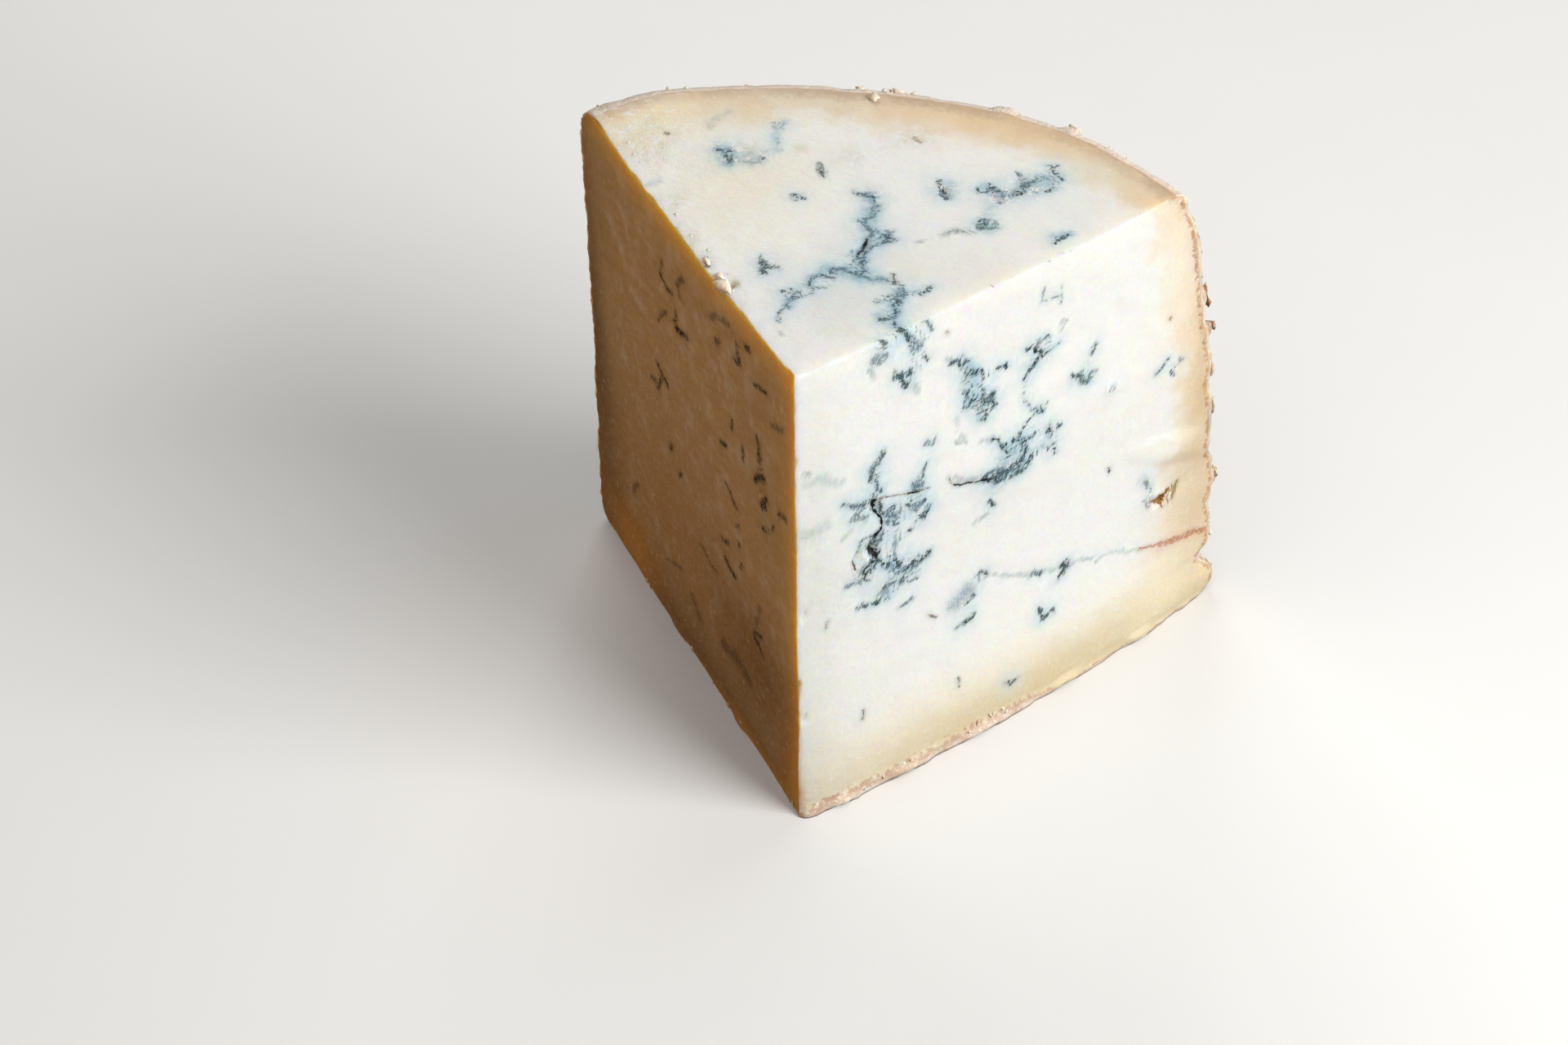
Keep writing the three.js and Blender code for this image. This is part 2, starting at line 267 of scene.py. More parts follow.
def press_marks(u, v, marks):
    """Depth in millimetres that the marks press into a face at u, v."""
    depth = np.zeros(len(u))
    for at_u, at_v, length, width, deep, turn in marks:
        c, s = math.cos(math.radians(turn)), math.sin(math.radians(turn))
        along = (c * (u - at_u) + s * (v - at_v)) / (length / 2)
        across = (c * (v - at_v) - s * (u - at_u)) / (width / 2)
        depth += deep * smooth(MARK_STEEPNESS * (1 - along ** 2 - across ** 2))
    return depth


# The veins' colours, sRGB from 0 to 255.
TEAL = (10, 48, 56)
INK = (6, 14, 18)
STEEL = (46, 90, 112)
MOSS = (44, 64, 54)
SKY = (140, 180, 194)
GREY = (138, 158, 156)
# On the right cut and the top this is a dark vein; on the left cut it is the veins drawn dark brown-black as
# painted shade.
DARK_VEIN_AND_PAINTED_SHADE = (26, 30, 22)
TAN = (170, 154, 116)
BROWN = (88, 84, 60)
RUST = (198, 132, 98)
AMBER = (150, 98, 20)

# The veins by face and colour: half width, strength, then the points, two numbers each. On a cut these are
# the distance from the tip and the height. On the top they are x and y from the tip.
VEINS = {}
VEINS["right", TEAL] = (
    (0.6, 0.8, 17, 121, 19, 119, 20, 118), (0.9, 1, 23, 121, 24, 119, 25, 118, 26, 116, 27, 115),
    (0.7, 0.9, 22.5, 109, 23.5, 108, 24, 107), (0.8, 0.9, 25, 106, 25.5, 105),
    (0.5, 0.9, 26, 109, 27, 107, 26.5, 106), (0.6, 0.8, 30, 110, 30.4, 109.4),
    (0.5, 0.9, 37, 105.2, 38.3, 104.2, 39.6, 103.4), (0.45, 0.9, 40, 105.2, 40.7, 103.6),
    (0.35, 1, 39.7, 102.2, 41, 102.3, 41.5, 101, 42.5, 100.6),
    (0.35, 1, 40.4, 101.6, 40.9, 100.2, 41.8, 99.4, 42.8, 99),
    (0.45, 0.95, 42.6, 100.2, 44.4, 99.3, 45, 97.9, 45.7, 96.7),
    (0.4, 1, 41.8, 95.6, 41.1, 94.2, 40.9, 92.4, 41.4, 91.8), (0.35, 1, 42, 94, 43, 92.7, 44.4, 92),
    (0.35, 0.95, 44.6, 94.2, 45.6, 93.8, 46.4, 92.4), (1.1, 0.9, 45.8, 91.4, 47.6, 90.4),
    (0.45, 0.9, 48, 92.6, 48.3, 90.6, 48.7, 89, 49.4, 88.8), (0.5, 0.9, 45, 87, 46.4, 86.5, 46.7, 85.8),
    (0.35, 0.85, 45.8, 87.8, 47.1, 86.8), (0.5, 0.95, 49.4, 98, 51, 97.5, 51.9, 97),
    (0.8, 0.8, 19.8, 91, 19, 89.5, 18, 89, 17, 88, 17, 86), (0.7, 0.8, 18, 85.5, 18.5, 84, 19, 82.5),
    (0.6, 0.75, 10.4, 82.8, 12, 82, 13, 80.9), (0.7, 0.8, 12.8, 80.6, 15, 80.3, 16.6, 80.6),
    (0.5, 0.8, 18.6, 84, 19.4, 83, 19.8, 81.4), (0.3, 0.7, 13, 79, 14.6, 77.8),
    (0.3, 0.7, 15, 76.8, 16.2, 76.3), (0.3, 1, 19.7, 70, 20.1, 69, 20.3, 68), (0.3, 1, 19.3, 66.8, 20, 65),
    (0.5, 0.9, 18.8, 79, 19.8, 77, 20.4, 75.2), (0.45, 0.85, 20.4, 75.2, 21.4, 75.8, 23, 75.6),
    (0.4, 0.8, 15, 70.8, 17, 70.3, 18.8, 70.2), (0.45, 0.9, 17, 69.6, 17.3, 68),
    (0.9, 1, 16.4, 62.6, 17.6, 63.6, 19.4, 63), (0.6, 1, 15.8, 61.8, 16.4, 60.3),
    (0.5, 0.9, 17.6, 62, 19, 61.3), (0.45, 0.85, 30.2, 77, 30.2, 79, 30.8, 81, 31.6, 82.6),
    (0.4, 0.8, 22.4, 74.4, 23.2, 73, 23.8, 72.6), (0.3, 0.8, 22.8, 70.7, 24.6, 70.3),
    (0.4, 0.85, 26, 74.4, 27.4, 73.6), (0.6, 0.85, 28.4, 71.8, 29.6, 71.5, 30, 72.7, 31.3, 72.6),
    (0.5, 0.9, 32.8, 70.8, 32.4, 69.6, 31.8, 67.6), (0.45, 0.8, 30.6, 68.3, 31.2, 67.6),
    (0.45, 0.85, 27.5, 66.9, 27.9, 66.4), (0.6, 0.95, 47, 69.8, 50, 68.4),
    (1.3, 0.9, 50.6, 69.6, 54, 69.7, 57.6, 70.2), (0.8, 0.85, 51.6, 67.9, 55, 67.3, 58, 67.1),
    (0.8, 0.9, 57.8, 70.6, 58.2, 73, 57.4, 75), (0.7, 1, 54.8, 76.6, 56.4, 76, 58, 75.2),
    (0.6, 0.9, 56.4, 77.6, 56.8, 76), (0.35, 0.9, 58.8, 75.5, 60.2, 75.7), (0.4, 0.95, 60, 70, 60.2, 69.2),
    (0.45, 0.95, 50, 79.5, 51, 77.8, 51.7, 76, 52.5, 75.3), (0.4, 0.9, 53, 74.7, 53.6, 74),
    (0.4, 0.95, 49.2, 80, 50.2, 79.4), (0.45, 1, 48.9, 63, 50, 62, 50.6, 61.2),
    (0.5, 1, 56.8, 98.9, 58.4, 98.2, 60, 97, 60.8, 96, 61.8, 95.2),
    (0.5, 1, 61.6, 95.2, 60, 94.6, 58.4, 93.2, 57, 91.6), (0.4, 0.9, 62.1, 99.9, 62.7, 99.3),
    (0.35, 0.85, 63, 96, 64.2, 96.4, 65.6, 96.3), (0.5, 0.9, 70, 86, 71, 85, 72.5, 85.5),
    (1, 0.8, 72, 84, 73.5, 83, 75, 82), (0.45, 0.9, 75, 90, 75.5, 89, 76, 91),
    (0.5, 0.8, 95, 74.6, 96.4, 75.6, 97.8, 77), (0.3, 0.8, 99.6, 73, 100.2, 71.6),
    (0.45, 0.95, 60.6, 82.4, 61.3, 81, 62.3, 80.6), (0.35, 0.95, 58.2, 79.8, 59.6, 80.3),
    (0.3, 0.9, 63, 81.9, 63.5, 82.1), (0.45, 1, 64.5, 76, 64.2, 74.8, 65.2, 74.4),
    (0.35, 0.85, 66.4, 74.6, 67.7, 74.2), (0.3, 0.85, 64.6, 73.8, 64.6, 71.4, 64.7, 69.4),
    (0.3, 0.75, 65, 69.8, 66.8, 70), (0.4, 0.9, 62.8, 71.2, 63.4, 70.6),
    (0.35, 0.9, 66.2, 68.4, 66.8, 67.6, 67, 66.7), (0.6, 0.95, 20.6, 61.2, 21.6, 60, 22.4, 59.8),
    (0.5, 0.95, 24.2, 60.4, 25, 59.6, 25.4, 58.6), (1.1, 1, 25.8, 56.5, 27.4, 56.7, 29, 57.3),
    (0.5, 0.95, 28.4, 58.8, 28.6, 57), (0.45, 0.95, 29.4, 56.6, 31, 56.4),
    (0.6, 0.95, 32.2, 56.4, 33, 56.6, 33, 57.7), (0.4, 0.85, 25.5, 58, 25.8, 55.5, 26, 54),
    (0.6, 0.85, 25.6, 53.5, 26.7, 52.6), (0.4, 0.8, 24.2, 54, 25.2, 53.8),
    (0.5, 0.85, 15.2, 52.4, 16.8, 51.6), (0.4, 0.98, 18.8, 51.6, 20, 51, 20.5, 50.9),
    (0.45, 0.85, 20.4, 53, 21.8, 54, 22.7, 52.2), (0.6, 0.8, 43.5, 39.5, 44.5, 38.5, 45, 37.5, 46.5, 38),
    (0.6, 0.8, 48.5, 44, 49, 43, 49.8, 42.5), (0.5, 0.9, 42, 31.5, 44, 31.7, 45.5, 32, 46.5, 33),
    (0.6, 0.9, 55, 9, 56, 8.7, 57, 8.5, 58, 8.7), (0.7, 0.8, 63, 34.8, 65, 34.2),
    (0.5, 0.9, 71.5, 33, 73.5, 33), (0.9, 1, 71, 30.2, 72, 31, 73, 31.6),
    (0.7, 0.9, 65, 24, 65.5, 22.5, 66.5, 21, 68, 21, 69.5, 21.3),
)
VEINS["right", STEEL] = (
    (1.5, 0.6, 17.5, 115, 19.5, 115), (0.5, 0.7, 29, 119, 30, 118, 31, 116), (1, 0.7, 26.8, 113, 28.2, 113.2),
    (0.3, 0.75, 40.2, 96.8, 41, 95.6), (0.35, 0.7, 43.8, 90.4, 44.6, 89.6),
    (0.6, 0.6, 31, 88, 33, 87, 33.5, 87.5), (0.9, 0.6, 12.6, 78, 14.8, 77.2, 15.8, 76.4),
    (0.7, 0.6, 18, 69, 19.6, 67.6), (1.1, 0.75, 28.4, 79, 29.6, 77.4), (1.1, 0.8, 21.8, 74, 23.2, 72.8),
    (0.6, 0.7, 21.4, 72, 22.6, 71.4), (0.9, 0.7, 28.6, 72.6, 30.6, 72.4), (0.6, 0.5, 24, 67, 23.8, 63),
    (0.35, 0.7, 23, 58.2, 23.4, 57.6), (0.5, 0.8, 47, 71, 49.8, 70.6),
    (0.2, 0.6, 56.4, 88, 57, 85.6, 58.2, 84, 59, 83), (0.35, 0.6, 59, 99.4, 60.4, 98.4),
    (0.6, 0.6, 76, 84, 77, 84), (0.3, 0.5, 81.3, 76.6, 82, 77.8, 82.7, 76.6),
    (0.4, 0.6, 102, 75.4, 103, 75.2), (0.6, 0.6, 11.8, 60, 13.5, 59.4, 15.2, 59),
    (0.35, 0.7, 16.8, 58.8, 17.4, 58.5), (0.45, 0.85, 22.4, 59.8, 24, 60, 24.1, 61.3),
    (0.8, 0.6, 27, 55, 31, 55.4), (0.9, 0.5, 21.4, 53, 22.6, 52.8), (0.35, 0.8, 22.4, 54.8, 22.5, 53),
    (0.45, 0.8, 29.2, 52, 30.5, 51.6), (0.3, 0.6, 22.3, 51, 22.9, 50.2), (0.5, 0.7, 26, 46, 28, 46, 30, 46.3),
    (2.4, 0.35, 41.5, 38.5, 44.5, 40.5),
)
VEINS["right", GREY] = (
    (0.4, 0.6, 16, 113, 17, 111), (0.5, 0.5, 27.5, 104, 28.5, 102), (0.4, 0.6, 35.5, 107, 37, 105.6),
    (0.7, 0.4, 39, 90, 39.3, 89), (0.25, 0.7, 39, 84.6, 40, 83.6, 41.6, 82.7),
    (0.35, 0.45, 40.4, 85.6, 41.2, 84), (0.5, 0.5, 10.5, 74, 12, 75),
    (0.5, 0.5, 39, 74.6, 42, 72.8, 45, 71.4), (0.5, 0.6, 46, 80.8, 48.8, 79.9), (0.4, 0.5, 0.5, 96, 2, 95),
    (1.1, 0.35, 1, 93, 4, 92.5, 6, 91, 9, 89), (1.5, 0.35, 1, 80, 4, 79, 6, 79.5),
    (0.4, 0.6, 65.8, 101.6, 66.8, 101.2, 66, 100), (0.4, 0.6, 45.5, 58.5, 49, 59.5),
    (0.45, 0.55, 50, 42, 55, 39, 60, 36.5, 66, 34.5, 70, 33, 76, 31.5, 82, 30),
    (0.35, 0.45, 82, 30, 90, 27, 94, 25.5, 98, 24), (0.4, 0.6, 82, 28.7, 82.3, 28.5),
    (0.4, 0.5, 90.3, 27.2, 90.7, 26.8),
)
VEINS["right", MOSS] = (
    (0.5, 0.5, 22, 110.5, 22.2, 110.2), (0.5, 0.9, 47.4, 90, 48, 89.4),
    (0.15, 0.55, 60, 112.6, 60, 109.6, 62, 109.3, 65, 108.9, 65, 107.2), (0.15, 0.4, 64.8, 111.2, 65, 108.8),
    (0.4, 0.6, 95.2, 44.4, 96.6, 42.8), (0.35, 0.6, 95.8, 42, 97.2, 41), (0.3, 0.5, 97.2, 39.8, 98, 38.6),
    (0.3, 0.5, 96, 38.2, 97.2, 36.2),
)
VEINS["right", TAN] = (
    (0.4, 0.6, 35, 113.5, 35.5, 113), (0.4, 0.8, 97.3, 88, 97.5, 87.8),
    (0.6, 0.95, 106, 38.6, 105.4, 36.8, 104.4, 34.8),
)
VEINS["right", SKY] = (
    (1.0, 0.6, 41.4, 103, 42.6, 100), (1.7, 0.45, 41.5, 98, 44, 95.5), (1.6, 0.7, 43, 93, 47.4, 92),
    (2.6, 0.6, 52, 69, 57, 69.4), (2, 0.6, 52, 72.4, 56, 73.6), (1.5, 0.3, 94.6, 45.2, 97, 42),
)
VEINS["right", INK] = (
    (0.5, 1, 17.7, 80, 18.1, 79, 18, 77.6, 18.4, 76.8), (0.25, 1, 18.4, 76.8, 19.4, 75.2),
    (0.25, 1, 19.6, 75, 20.2, 73.4, 20.2, 71.6, 19.8, 70.6), (0.55, 1, 19.9, 70.7, 18.9, 70.4),
    (0.6, 1, 17.3, 67.9, 18, 66.4, 18.5, 65.2, 19.3, 64.2), (0.2, 1, 26.8, 77.3, 28, 77, 29.4, 76.2),
    (0.1, 0.9, 29.4, 76.2, 30.4, 76, 32.2, 75.5), (0.2, 1, 39, 72.9, 40.6, 72, 42.2, 71.6, 44.6, 70.8),
    (0.15, 1, 44.6, 70.8, 46.6, 70.2, 49, 69.3, 50.6, 68.8), (0.3, 0.8, 16.3, 22.5, 16.5, 21, 16, 20),
    (0.25, 0.7, 42, 17, 42.3, 15), (0.3, 0.6, 7, 53, 6.5, 51.5), (0.3, 0.9, 83.7, 54, 84, 52.8),
)
VEINS["right", DARK_VEIN_AND_PAINTED_SHADE] = ((0.22, 0.9, 14.9, 69.2, 14.3, 67.7, 13.8, 66.9),)
VEINS["right", BROWN] = (
    (0.25, 0.97, 13.2, 66.1, 13.5, 65, 13.9, 63.4), (0.1, 0.8, 19.8, 79.8, 22, 79, 24.6, 78, 26.4, 77.3),
    (0.15, 0.9, 37.4, 76, 38, 74.2, 39, 73), (0.3, 0.7, 34, 39.5, 35, 38.5, 36, 37.5),
)
VEINS["right", RUST] = (
    (0.35, 0.75, 95, 24.8, 99, 23.8, 102, 22.8),
    (0.9, 0.8, 102, 22.8, 106, 21.7, 110, 20.9, 113, 20.4, 116, 19),
)
VEINS["right", AMBER] = (
    (0.5, 1, 98, 37.4, 99.4, 36.8, 100.6, 36.2, 101.8, 36.8, 103, 38), (0.9, 1, 100.2, 36, 101, 35.6),
    (0.3, 1, 101, 35.4, 101.5, 33.8),
)
VEINS["top", TEAL] = (
    (0.45, 1, -34.2, 69.2, -33.2, 69.8, -32.4, 70),
    (0.5, 0.95, -33, 69.2, -32.2, 68.4, -31.4, 67.6, -30.8, 66.2),
    (0.3, 1, -31.4, 68.6, -30.6, 67.2, -30.2, 66), (0.4, 0.85, -31.4, 65.6, -30.2, 65.6),
    (0.3, 0.7, -24.8, 68.4, -24, 68.2, -23.6, 67.7), (0.55, 1, -15, 57.9, -14.2, 57.3),
    (0.3, 0.95, -13.7, 57.6, -13.2, 57.2), (0.3, 0.9, -0.4, 62.2, 0.6, 60.7, 1.2, 59.4),
    (0.65, 1, 6, 48.4, 7.4, 47.9), (0.35, 0.85, 5.2, 46.2, 6.4, 46.6),
    (0.4, 0.85, 4.3, 45, 3.3, 42.8, 2.8, 40.7, 3, 38.6, 3.8, 36, 3.4, 34.4), (0.4, 0.9, 2.4, 34.8, 3.8, 34.1),
    (0.4, 0.95, -4.2, 32.5, -2.8, 32.9, -1.4, 32.3), (0.35, 0.9, -5.2, 31.6, -5.6, 29.4),
    (0.5, 1, -9.9, 26, -8.6, 26.7, -7.9, 26.5), (0.6, 1, -7.9, 25, -7, 24.6),
    (1, 0.95, -15.6, 34, -14.8, 31.5), (0.5, 0.8, -15, 33, -13, 33.4), (0.5, 0.95, 10.2, 33.2, 12.2, 32.6),
    (0.7, 0.95, 11, 28.8, 12.2, 27.2), (0.4, 0.95, 12.4, 26.6, 12.5, 25, 13, 21.4, 13.4, 20),
    (0.7, 0.95, 10.2, 20.8, 11, 21.4), (0.6, 0.9, 15.6, 18.4, 17.6, 16.4), (0.35, 0.9, 12, 69, 13, 67),
    (0.7, 1, 13, 67, 13.8, 65.4, 14.8, 64), (0.35, 0.95, 22.4, 69.6, 23.2, 68.2, 22.6, 67.3),
    (0.4, 0.9, 24, 68.5, 25.3, 67, 25.6, 65.8), (0.3, 0.9, 21.8, 68, 23, 67), (0.85, 1, 28.3, 69, 29.4, 68.6),
    (0.4, 0.9, 27.6, 68, 28.4, 68.2), (0.6, 0.85, 29, 70, 29.7, 71.4),
    (0.35, 0.95, 33, 78.8, 34.2, 77.6, 34.9, 76.4, 36, 75.4, 36.4, 74.8),
    (0.4, 0.95, 34.8, 71.4, 34.2, 70.4, 33.6, 70.2), (0.3, 0.85, 34.6, 79.2, 34.3, 78.6),
    (0.4, 0.9, 30.2, 70.6, 29.8, 69.4), (0.5, 1, 23, 57.4, 23.6, 58.2, 24.4, 58.3),
    (0.5, 0.9, 24.4, 57, 24.4, 55.8), (0.7, 0.75, 23.2, 55.5, 25.2, 55.6),
    (0.4, 1, 38, 55, 38.6, 54.2, 38.4, 53.4), (0.45, 1, 39.4, 54.8, 39.8, 55.6, 40.3, 56.3),
)
VEINS["top", STEEL] = (
    (0.25, 0.4, -32.2, 70.8, -31, 70.2, -30.6, 69.4), (0.5, 0.4, -27.4, 66.2, -25.6, 66.4),
    (0.2, 0.5, -24.9, 80.8, -24.9, 79.2), (0.25, 0.35, -23, 75.6, -22.8, 74.4),
    (0.2, 0.3, -23.3, 81.4, -23.2, 79.8), (0.4, 0.6, -15.6, 57, -14.6, 56.6),
    (0.5, 0.8, -3.4, 61.6, -1.6, 60.8), (0.3, 0.7, 3, 59.2, 2, 58.6),
    (0.4, 0.7, 0.9, 57.8, 1.9, 55.2, 0.6, 53.4), (0.5, 0.75, -0.8, 52.6, 1.9, 50.2, 2.9, 47.6),
    (0.5, 0.65, 5, 50.2, 6.4, 49.8), (0.3, 0.75, 0.3, 41.8, 1.4, 38.6),
    (0.5, 0.85, -2, 35, 0, 35.5, 1.6, 34.8), (0.45, 0.7, 3.6, 34.2, 6, 33.6), (0.4, 0.6, 7, 34.4, 8.4, 33.9),
    (0.3, 0.75, -5.2, 28.6, -4, 28.2, -2.2, 28.8), (0.3, 0.65, -4, 28, -5.4, 25.6),
    (0.5, 0.8, -7.8, 24.4, -8, 21.3), (0.4, 0.85, -8.8, 19.4, -9.1, 18.2, -8.8, 16.2),
    (0.6, 0.75, 12.2, 32.6, 13, 30, 11.4, 28.8), (0.3, 0.6, 8.2, 27, 9.6, 26.8),
    (0.8, 0.6, 25.4, 66.4, 25.7, 64.6), (0.5, 0.75, 28.6, 71.2, 30, 72, 31.4, 73),
    (0.3, 0.75, 31.5, 74.5, 32.5, 75.2, 33.5, 73.8), (0.3, 0.75, 33, 69.8, 32.2, 69),
    (0.25, 0.65, 35.2, 72.8, 34, 73.5, 33.4, 74.6), (0.5, 0.8, 27.2, 74.9, 27.8, 74.2),
)
VEINS["top", SKY] = (
    (1.9, 0.7, -33, 68.6, -30.8, 65.2),
    (1, 0.5, -23.4, 82.4, -23.4, 80, -23.8, 77, -23, 74.6, -23, 72, -22.4, 71),
    (1.7, 0.85, 0, 61, 0.8, 57.5, 1.2, 53.5, 1.9, 50.2), (1.9, 0.8, 3, 49, 5.6, 47.6),
    (1.7, 0.9, 2.6, 47, 2.4, 42, 2.6, 38, 3.2, 34), (1.8, 0.85, -3.4, 35.4, 0, 35, 4, 33.4, 7.4, 34),
    (1.5, 0.75, -3.6, 34.4, -5.4, 31, -5.6, 29.4), (1.1, 0.6, -7.6, 25, -8, 21),
    (1.4, 0.8, 12.2, 30, 12.4, 25, 13, 20), (1.4, 0.6, 9.8, 22, 11.6, 21), (0.8, 0.5, 13, 30.6, 15.6, 31.4),
    (1.6, 0.5, 14.6, 68, 15.4, 65), (1.8, 0.55, 22, 68.6, 26, 66.6, 28.4, 69),
    (2.1, 0.6, 30, 72, 32, 74, 34.6, 74, 35.2, 72), (1.8, 0.7, 24, 57.2, 24.2, 55.4),
    (1.2, 0.35, 24, 62.4, 24, 59.4), (1.3, 0.7, 38.6, 55.6, 40.4, 56.8),
)
VEINS["top", GREY] = (
    (2, 0.45, -27.6, 68.8, -25.8, 67.2), (0.5, 0.5, -24.2, 71, -21.4, 71.6),
    (0.8, 0.35, -35.2, 83, -36.4, 80.8, -37.8, 79, -38, 76.4), (0.4, 0.6, -7.3, 12, -6.5, 11.5),
    (0.8, 0.6, 17.2, 52.2, 18.6, 53.4, 20, 53.6, 20.9, 52.8), (0.4, 0.5, 16.2, 50.8, 16.8, 51),
    (0.5, 0.5, 12, 48, 13, 48.4), (0.9, 0.4, -45, 53.6, -43, 55.8),
)
VEINS["top", INK] = (
    (0.32, 0.94, -12.2, 67.4, -11.6, 66.4, -11, 65.2), (0.2, 1, 2.2, 46.8, 1.8, 43.9, 1.3, 42.3, 1.6, 40.2),
)
VEINS["top", DARK_VEIN_AND_PAINTED_SHADE] = (
    (0.7, 0.6, -12.9, 68.8, -11.4, 66.2), (0.25, 0.5, 17.6, 52.6, 18.8, 53.6, 20, 53.2),
)
VEINS["top", MOSS] = (
    (0.3, 0.8, -17, 36.6, -15.6, 34.4), (0.45, 1, 16, 31.2, 17.6, 33.6), (0.45, 1, 20.6, 67.8, 21, 67.1),
    (0.35, 0.95, 23.5, 69, 24, 67.4), (0.2, 0.6, 26, 57.6, 26.6, 56),
)
VEINS["top", BROWN] = (
    (0.2, 0.97, 9.6, 36, 10.4, 33.6), (0.4, 0.6, -46, 72.5, -45.6, 72.2), (0.7, 0.7, -27, 33, -26, 31),
)
VEINS["top", TAN] = ((0.5, 0.7, 4.4, 82.4, 5.8, 81.6),)
# The left cut's veins, drawn dark as painted shade.
VEINS["left", DARK_VEIN_AND_PAINTED_SHADE] = (
    (0.7, 0.85, 20.4, 112.6, 22.2, 111.6), (0.5, 0.85, 12.4, 107.4, 15, 106.6, 18.4, 105.2),
    (0.7, 0.45, 5, 104, 8, 102, 10, 101), (0.6, 0.6, 25.8, 110, 25.6, 106), (0.7, 0.85, 25, 106, 26.6, 105.2),
    (0.8, 0.45, 29, 112, 34, 110.4, 38, 108), (0.7, 0.7, 33.8, 104.6, 35.6, 103.2),
    (0.7, 0.6, 50.5, 108.6, 52.4, 107, 53.8, 104.6, 53.2, 102.6), (0.6, 0.6, 61.4, 106, 62.2, 104.4),
    (0.5, 0.9, 58, 100.2, 60, 99.8, 64, 101.4), (0.5, 0.8, 49.8, 94.6, 52, 93.4),
    (0.9, 1, 52, 93.4, 54.4, 92.6, 57.2, 92.6), (0.5, 0.6, 57, 94.6, 56.4, 96.6),
    (0.8, 0.5, 62, 92.6, 64, 90.6, 66.4, 87.6), (0.7, 0.7, 16.8, 92.4, 16, 89.6),
    (0.9, 0.85, 16, 89, 16.2, 87.4), (0.9, 0.95, 14, 84.6, 16, 83, 18.4, 81.2),
    (1.0, 1, 13.2, 79.6, 14.2, 77.6, 15.4, 76.2), (0.8, 0.8, 5, 81.4, 7, 80.6),
    (0.6, 0.7, 24, 84.4, 24.2, 81.8), (0.5, 0.7, 29.2, 87.4, 29.6, 86), (0.6, 0.85, 33, 79, 35.2, 77.6),
    (0.5, 0.7, 9.8, 75, 10.8, 73), (0.6, 0.8, 13.6, 71.6, 15, 70.2),
    (0.5, 0.85, 28, 65.6, 30, 66.4, 33.2, 68.2), (0.7, 0.95, 62.4, 73, 64.6, 73.8, 67.6, 75.6),
    (0.7, 0.8, 66.4, 72, 67, 70, 68, 68), (0.5, 0.6, 69, 69.6, 71.4, 68.6),
    (0.6, 0.7, 26.6, 56.6, 27.6, 55.8), (0.5, 0.6, 26.2, 51.4, 26.8, 50.2),
    (0.6, 0.85, 32.6, 52, 34.4, 51.6, 36, 51), (0.7, 0.95, 30, 44.8, 32, 45.4, 34.6, 46),
    (0.5, 0.8, 57.4, 51.8, 58.8, 50.8), (0.7, 0.95, 61.6, 56.8, 62.6, 55.2), (0.5, 0.5, 27, 61.6, 28, 60.4),
    (0.7, 0.75, 17.8, 38, 20, 37, 21, 36), (0.6, 0.85, 21, 34.8, 18.6, 33.4, 17.4, 32.6),
    (0.7, 0.35, 18, 46, 20, 40), (0.6, 0.4, 41, 37.2, 44, 37.6, 48, 39.4), (1.8, 0.35, 25, 18.6, 31, 20),
    (1.8, 0.4, 31, 19, 38, 18), (1.5, 0.35, 51, 14.6, 54.6, 18.6), (0.6, 0.35, 60, 22, 68, 18),
    (0.8, 0.4, 84, 28, 87, 25, 88, 22),
)
# The soft veins, the thin films and the cracks are three layers, each with its own colours.
LAYERS = {"": (TEAL, STEEL, MOSS, DARK_VEIN_AND_PAINTED_SHADE), "wash_": (SKY, GREY), "crack_": (INK, BROWN, TAN, RUST, AMBER)}
END_WIDTH = 0.7
FAR = 50.0
HALO = {"reach": 3.0, "gain": 0.28, "least_length": 0.35, "least_width": 0.5}
HALO_SHARE = {TEAL: 1.0, STEEL: 0.8, MOSS: 0.6, INK: 0.5, SKY: 0.5, GREY: 0.25}
BLOCK = 4000


def to_linear(colour):
    c = np.array(colour, float) / 255
    return tuple(np.where(c <= 0.04045, c / 12.92, ((c + 0.055) / 1.055) ** 2.4))


def on_face(face, u, v):
    """Points of a flat face of the wedge, in millimetres from the foot of its tip."""
    along_u, along_v, height = FACES[face]
    return np.outer(u, along_u) + np.outer(v, along_v) + height * UPWARDS


def vein_segments(tints):
    """The veins of these colours in straight pieces: ends, half width, strength, colour, share of halo."""
    rows = []
    for (face, tint), veins in VEINS.items():
        if tint not in tints:
            continue
        # The left cut's veins get no pale halo, as part of its painted shade.
        blue = 0 if face == "left" else HALO_SHARE.get(tint, 0)
        for half, strength, *flat in veins:
            ends = on_face(face, flat[::2], flat[1::2])
            last = len(ends) - 1
            for i in range(last):
                taper = mix(END_WIDTH, 1, math.sin(math.pi * (i + 0.5) / last))
                rows.append((*ends[i], *ends[i + 1], half * taper, strength, *to_linear(tint), blue))
    return np.array(rows)


